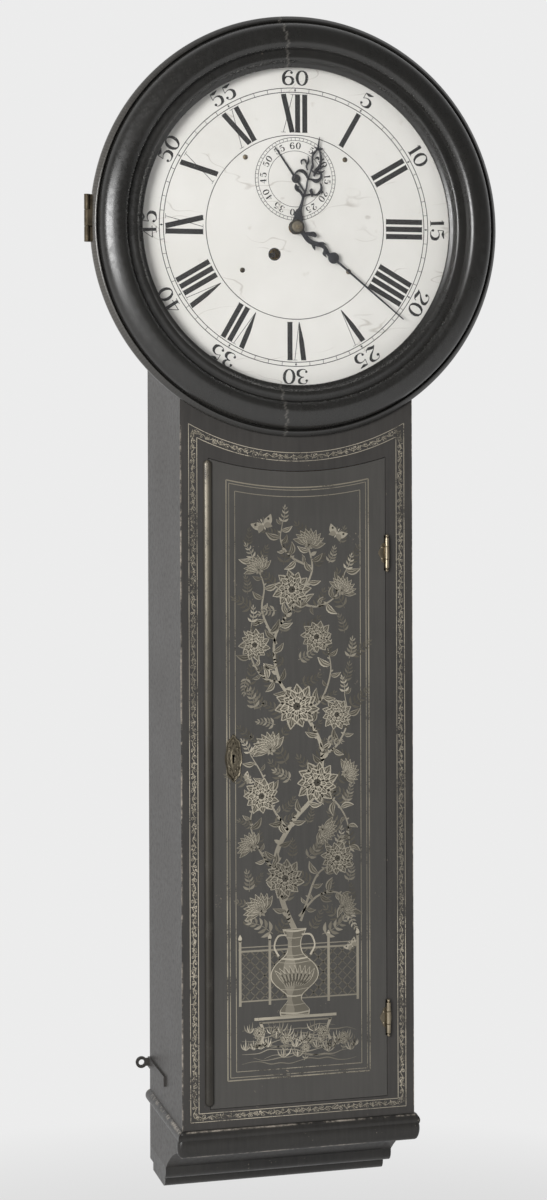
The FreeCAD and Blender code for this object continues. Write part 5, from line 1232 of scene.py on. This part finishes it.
def door_painting():
    """Whole picture, built from the back to the front in thin layers of paint."""
    paint = Surface()
    level = DOOR_LEVEL
    grass_bank(paint, level)
    fence_and_table(paint, level)
    vase(paint, -6, -983, 108, 62, level - 0.05)
    stem(paint, MAIN_STEM, 7.0, 1.8, level - 0.02, 0.72, 22)
    for index, path in enumerate(BRANCHES):
        def branch_leaf(step):
            long = 15 + 5 * math.sin(step * 1.7 + index)
            tone = 0.5 + 0.4 * ((step * 7 + index * 3) % 5) / 4
            return 1 if (step + index) % 2 else -1, 62, long, long * 0.42, tone, 0.14

        stem(paint, path, 3.2, 1.0, level - 0.02, 0.66, 5)
        line = leafy(paint, path, 9, 1, level - 0.04, branch_leaf)
        spray(paint, *line[-1], heading_of(line[-1] - line[-3]), 20, level - 0.05, 4, 0.8)
    leafy(paint, MAIN_STEM, 34, 2, level - 0.04,
          lambda step: (1 if step % 2 else -1, 55, 17, 7.0, 0.45 + 0.45 * ((step * 5) % 7) / 6, 0.12))
    for row in range(17):
        for column in range(4):
            x = -60 + column * 40 + 16 * (row % 2) - 8 + chance.uniform(-9, 9)
            z = -392 - row * 30 + chance.uniform(-9, 9)
            spray(paint, min(max(x, -66), 66), z, chance.uniform(-70, 70), chance.uniform(18, 30), level, 5,
                  chance.uniform(0.26, 0.42), 0.3)
    for x, z, size, lean in OPEN_FLOWERS:
        flower(paint, x, z, size, level - 0.08, 10, 1.0, lean)
    for x, z, size, lean in BLOOMS:
        fan_bloom(paint, x, z, size, lean, level - 0.10)
    for x, z, heading, long in SPRAYS:
        spray(paint, x, z, heading, long, level - 0.05, 5, 0.6)
    for x, z, size, lean, above, tone in MOTHS:
        moth(paint, x, z, size, lean, level - above, tone)
    make("door_painting", paint, "trunk_door", DOOR_GILT, closed=False)


def door_lines():
    """Three lines round the picture, the outer one wider, bowed at the top like the door."""
    lines = Surface()
    for x, radius, low, wide in ((92.0, 413.5, -1059.0, 1.5), (88.5, 416.8, -1055.5, 0.9),
                                 (81.0, 425.0, -1048.5, 0.9)):
        bowed_frame(lines, x, low, DOOR_BOW_MIDDLE, radius, wide, DOOR_LEVEL, 0.55, 30, 60)
    make("door_lines", lines, "trunk_door", BORDER_GILT, closed=False)


def door_bead():
    """Half-round bead: points round half a circle at each height, drawn in at both rounded ends."""
    low, high = box_in_millimetres("door_astragal")
    end_radius = 5.5
    wide, deep, tall = high - low
    middle = (low[0] + high[0]) / 2
    turn = np.linspace(0, math.pi, 13)
    share = end_radius / tall
    z = np.concatenate([np.linspace(0, share, 8)[:-1], np.linspace(share, 1 - share, 106),
                        np.linspace(1 - share, 1, 8)[1:]])
    end = np.clip(np.minimum(z, 1 - z) * tall / end_radius, 0, 1)
    full = np.sqrt(np.clip(1 - (1 - end) ** 2, 0.0004, 1))[:, None]
    x = middle - wide / 2 * full * np.cos(turn)
    y = high[1] - deep * full * np.sin(turn) ** 0.9
    points = np.stack([x, y, np.broadcast_to((low[2] + z * tall)[:, None], x.shape)], 2).reshape(-1, 3)
    kept_gilt = np.interp(z, [0, 0.28, 0.55, 0.78, 0.95, 1], [0.05, 0.1, 0.16, 0.62, 1.0, 0.8])[:, None]
    # Painted highlight: the tone rises round the bead's side that faces the light, about 72 degrees from its left
    # edge; along the height it follows the gilt that is kept.
    painted_highlight = np.exp(-(((turn - 1.25) / 0.42) ** 2))
    bead = Surface()
    faces = [grid(len(z), len(turn), wrap_columns=True), end_caps(len(turn), len(z))]
    bead.add(points, faces, (0.06 + kept_gilt * (0.25 + 0.75 * painted_highlight)).ravel())
    make("door_bead", bead, "trunk_door", BEAD_GILT, sharp=60, replaces=("door_astragal",))


door_painting()
door_lines()
door_bead()


# Base moulding, hinges and escutcheon


def rounded_box(left, right, front, back, radius, steps=9):
    """Outline of a rectangle in X and Y with round corners of a radius, in even steps."""
    turn = np.linspace(0, math.pi / 2, steps)
    corners = []
    for x, y, first in ((right - radius, front + radius, -90), (right - radius, back - radius, 0),
                        (left + radius, back - radius, 90), (left + radius, front + radius, 180)):
        angle = turn + math.radians(first)
        corners.append(np.stack([x + radius * np.cos(angle), y + radius * np.sin(angle)], 1))
    return np.vstack(corners)


def base_cushion():
    """Front moulding of the base: a quirk over a full round, each outline grown by the round's height."""
    low, high, half_trunk, back = -1150.0, -1116.9, 150, 9.0
    quirk = np.array([[0.0, 0.4], [0.01, 1.8], [0.04, 3.6], [0.09, 4.6], [0.14, 4.7], [0.17, 4.1]])
    turn = np.linspace(-1.1, math.pi / 2, 18)
    round_share = 0.60 + 0.40 * np.sin(turn)
    round_out = 6.75 * np.abs(np.cos(turn)) ** 0.95
    shares = np.concatenate([quirk[:, 0], 0.19 + (round_share - round_share[0]) * 0.81 / (1 - round_share[0])])
    outs = np.concatenate([quirk[:, 1], np.maximum(round_out, 0.4)])
    rings = []
    for share, out in zip(shares, outs):
        outline = rounded_box(-half_trunk - out, half_trunk + out, -out, back, min(out, 6) + 0.3)
        rings.append(np.column_stack([outline, np.full(len(outline), high + (low - high) * share)]))
    count = len(rings[0])
    cushion = Surface()
    cushion.add(np.vstack(rings), [grid(len(rings), count, wrap_columns=True), end_caps(count, len(rings))])
    make("base_cushion", cushion, "case", WORN_BASE, sharp=50, replaces=("base_ovolo",))


def knuckle(surface, z_low, z_high, centre, radius):
    """One turned barrel of a hinge with eased ends, along Z."""
    profile = [(z_low, radius * 0.82), (z_low + 0.35, radius), (z_high - 0.35, radius), (z_high, radius * 0.82)]
    turning(surface, profile, 20, centre, "z")


def finial(surface, z, way, centre, radius):
    """Turned end of a hinge pin: neck, ball and tip as radii along Z."""
    profile = [(0, 0.55), (0.5, 0.5), (0.9, 0.75), (1.5, 1.0), (2.3, 0.95), (3.0, 0.62), (3.4, 0.25)]
    profile = [(z + way * along * radius * 0.62, radius * wide) for along, wide in profile]
    turning(surface, profile, 18, centre, "z")


def door_hinges():
    """Two small hinges: outer barrels with finials on the stile, middle barrel and leaf on the door."""
    fixed, moving = Surface(), Surface()
    centre = (115.4, -3.4, 0)
    stile_leaf = [(116.2, -8), (119.4, -12), (120.6, -22.5), (119.4, -33), (116.2, -37)]
    door_leaf = [(113.9, -9.5), (109.6, -10.5), (107.8, -16), (105.6, -20), (104.6, -22.5), (105.6, -25),
                 (107.8, -29), (109.6, -34.5), (113.9, -35.5)]
    wrap = [(113.2, -29.8), (115.6, -29.8), (115.6, -15.2), (113.2, -15.2)]
    for top in (-386.0, -971.0):
        knuckle(fixed, top - 14.5, top - 3.2, centre, 2.7)
        knuckle(fixed, top - 41.8, top - 30.5, centre, 2.7)
        finial(fixed, top - 3.2, 1, centre, 2.2)
        finial(fixed, top - 41.8, -1, centre, 2.2)
        knuckle(moving, top - 30.2, top - 14.8, centre, 2.75)
        plank(fixed, softened(np.add(stile_leaf, (0, top)), 1.6), -0.75, 0.2, 0.25, 0.3)
        plank(moving, softened(np.add(door_leaf, (0, top)), 1.4), -0.95, 0.1, 0.3, 0.45)
        plank(moving, np.add(wrap, (0, top)), -3.2, -0.2, 0.2)
        for z in (top - 15.5, top - 29.5):
            turning(moving, [(-0.4, 1.2), (-1.0, 1.2), (-1.35, 0.8), (-1.45, 0.3)], 14, (110.2, 0, z))
    make("door_hinge_knuckles", fixed, "case", HINGE_BRASS, sharp=40, replaces=("door_hinge_fixed",))
    make("door_hinge_flaps", moving, "trunk_door", HINGE_BRASS, sharp=40,
         replaces=("door_hinge_leaves",))


def keyhole(turn):
    """Distance from its middle to the rim of a keyhole: a round with a slot below, at each angle."""
    cos, sin = np.cos(turn), np.sin(turn)
    half_slot, round_up, slot_down, round_radius = 1.15, 3.0, 5.2, 2.1
    upright_reach = np.where(sin > 0, round_up, slot_down) / np.maximum(np.abs(sin), 1e-6)
    slot = np.minimum(half_slot / np.maximum(np.abs(cos), 1e-6), upright_reach)
    inside = round_radius**2 - (round_up * cos) ** 2
    ring = np.where((inside > 0) & (sin > 0), round_up * sin + np.sqrt(np.maximum(inside, 0)), 0)
    return np.maximum(slot, ring)


def escutcheon_plate():
    """Pierced lock plate: rings from the lobed rim in to the keyhole, with a bead and chased relief."""
    plate = Surface()
    turn = np.linspace(0, 2 * math.pi, 180, endpoint=False)
    compass = np.stack([np.cos(turn), np.sin(turn)], 1)
    lobes = 1 + 0.035 * np.cos(8 * turn) + 0.03 * np.abs(np.cos(4 * turn))
    outer = compass * (10.3, 28.0) * lobes[:, None]
    inner = compass * keyhole(turn)[:, None]
    shares = np.array([1.0, 1.0, 0.985, 0.955, 0.92, 0.885, 0.85, 0.78, 0.70, 0.62, 0.54, 0.46, 0.38, 0.30, 0.22, 0.14,
                       0.07, 0.0, 0.0])[:, None]
    flat_level = np.array([0.15, -0.7, -1.25, -1.6, -1.45, -1.0, -0.62, -0.7, -0.85, -0.95, -1.0, -0.95, -0.85, -0.8,
                           -1.2, -1.55, -1.5, -1.1, 0.15])[:, None]
    grown = np.clip(1 - np.abs((shares - 0.56) / 0.26), 0, 1)
    chased = np.cos(10 * turn) * np.cos((shares - 0.56) * 24)
    level = flat_level - 0.42 * grown * chased
    points = inner + (outer - inner) * shares[:, :, None]
    tone = 1.0 - 0.85 * np.clip(grown * 1.3, 0, 1) * np.clip(-chased * 1.6, 0, 1)
    tone = np.where(flat_level > -0.66, 0.35, tone)
    low, high = box_in_millimetres("escutcheon")
    x_middle, _, z_middle = (low + high) / 2
    body = np.stack([points[..., 0] + x_middle, level + DOOR_FACE, points[..., 1] + z_middle], 2)
    plate.add(body.reshape(-1, 3), [grid(len(shares), len(turn), True, True)], tone.ravel())
    for x, z in ((0, 22.6), (0, -22.6), (5.2, 12.5), (-5.2, 12.5), (5.2, -12.5), (-5.2, -12.5)):
        turning(plate, [(-0.9, 1.5), (-1.7, 1.35), (-2.0, 0.9), (-2.1, 0.35)], 16,
                (x_middle + x, DOOR_FACE + 0.3, z_middle + z))
    make("escutcheon_plate", plate, "trunk_door", PLATE_BRASS, sharp=60, replaces=("escutcheon",))


base_cushion()
door_hinges()
escutcheon_plate()


# Stage, light and camera

BACKGROUND = 0.84


def show(item):
    """Put an object into the scene and hand it on."""
    bpy.context.scene.collection.objects.link(item)
    return item


def left_window():
    """One soft light high on the left, in front of the clock."""
    lamp = bpy.data.lights.new("left_window", "AREA")
    lamp.shape = "RECTANGLE"
    lamp.size, lamp.size_y = 1.6, 1.4
    lamp.energy = 124
    item = show(bpy.data.objects.new("left_window", lamp))
    place, aim = Vector((-2.45, -2.85, 0.0)), Vector((0, -0.2, -0.35))
    item.location = place
    item.rotation_euler = (aim - place).to_track_quat("-Z", "Y").to_euler()


def white_world():
    """Soft sky: an even light, seen white by the camera and through glass, and dim in front for gloss."""
    world = bpy.data.worlds.new("studio")
    bpy.context.scene.world = world
    world.use_nodes = True
    net = Net(world.node_tree)
    ray = net.node("LightPath").outputs
    way = net.node("SeparateXYZ", net.node("TexCoord").outputs["Generated"]).outputs["Y"]
    gloss = net.ramp(net.plus(net.times(way, 0.5), 0.5), (0.30, grey(0.10)), (0.62, grey(BACKGROUND)))
    colour = net.mixed(ray["Is Glossy Ray"], grey(0.31), gloss)
    seen = net.maths("MAXIMUM", ray["Is Camera Ray"], ray["Is Transmission Ray"])
    sky = net.node("Background", net.mixed(seen, colour, grey(BACKGROUND)))
    net.node("OutputWorld", sky.outputs[0])


def pale_floor():
    """Level floor well below the clock, as pale as the background to the camera."""
    mesh = bpy.data.meshes.new("floor")
    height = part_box("base_foot_board")[0].z - 0.45
    mesh.from_pydata([(x, y, height) for x, y in ((-9, -9), (9, -9), (9, 9), (-9, 9))], [], [(0, 1, 2, 3)])
    net = Material("floor_pale", "BsdfDiffuse")
    net.feed_named(net.shader, Color=grey(0.8))
    glow = net.node("Emission", grey(BACKGROUND))
    reach = net.maths("DIVIDE", net.vector("LENGTH", net.place), 6.0)
    away = net.band(reach, 0.33, 0.42)
    ray = net.node("LightPath").outputs
    seen = net.maths("MAXIMUM", ray["Is Camera Ray"], ray["Is Transmission Ray"])
    seen = net.maths("MAXIMUM", seen, ray["Is Glossy Ray"])
    net.share(net.times(seen, net.plus(net.times(away, 0.4), 0.6, True)), glow.outputs[0])
    mesh.materials.append(net.material)
    show(bpy.data.objects.new("floor", mesh))


def stand_camera():
    """Camera at the photograph's place: level, turned to the right, with the lens shifted down."""
    turn, roll = math.radians(14.74), math.radians(-0.2)
    ahead = Vector((math.sin(turn), math.cos(turn), 0))
    right = Vector((math.cos(turn), -math.sin(turn), 0))
    up = Vector((0, 0, 1))
    across = right * math.cos(roll) + up * math.sin(roll)
    above = -right * math.sin(roll) + up * math.cos(roll)
    camera = show(bpy.data.objects.new("camera", bpy.data.cameras.new("camera")))
    camera.data.sensor_width = 36
    camera.data.lens = 69.495
    camera.data.shift_x = 0.0002
    camera.data.shift_y = -0.1363
    turned = Matrix((across, above, -ahead)).transposed().to_4x4()
    turned.translation = Vector((-0.7645, -2.9835, -0.4213))
    camera.matrix_world = turned
    bpy.context.scene.camera = camera


white_world()
pale_floor()
stand_camera()
left_window()
bpy.context.scene.view_settings.view_transform = "Standard"
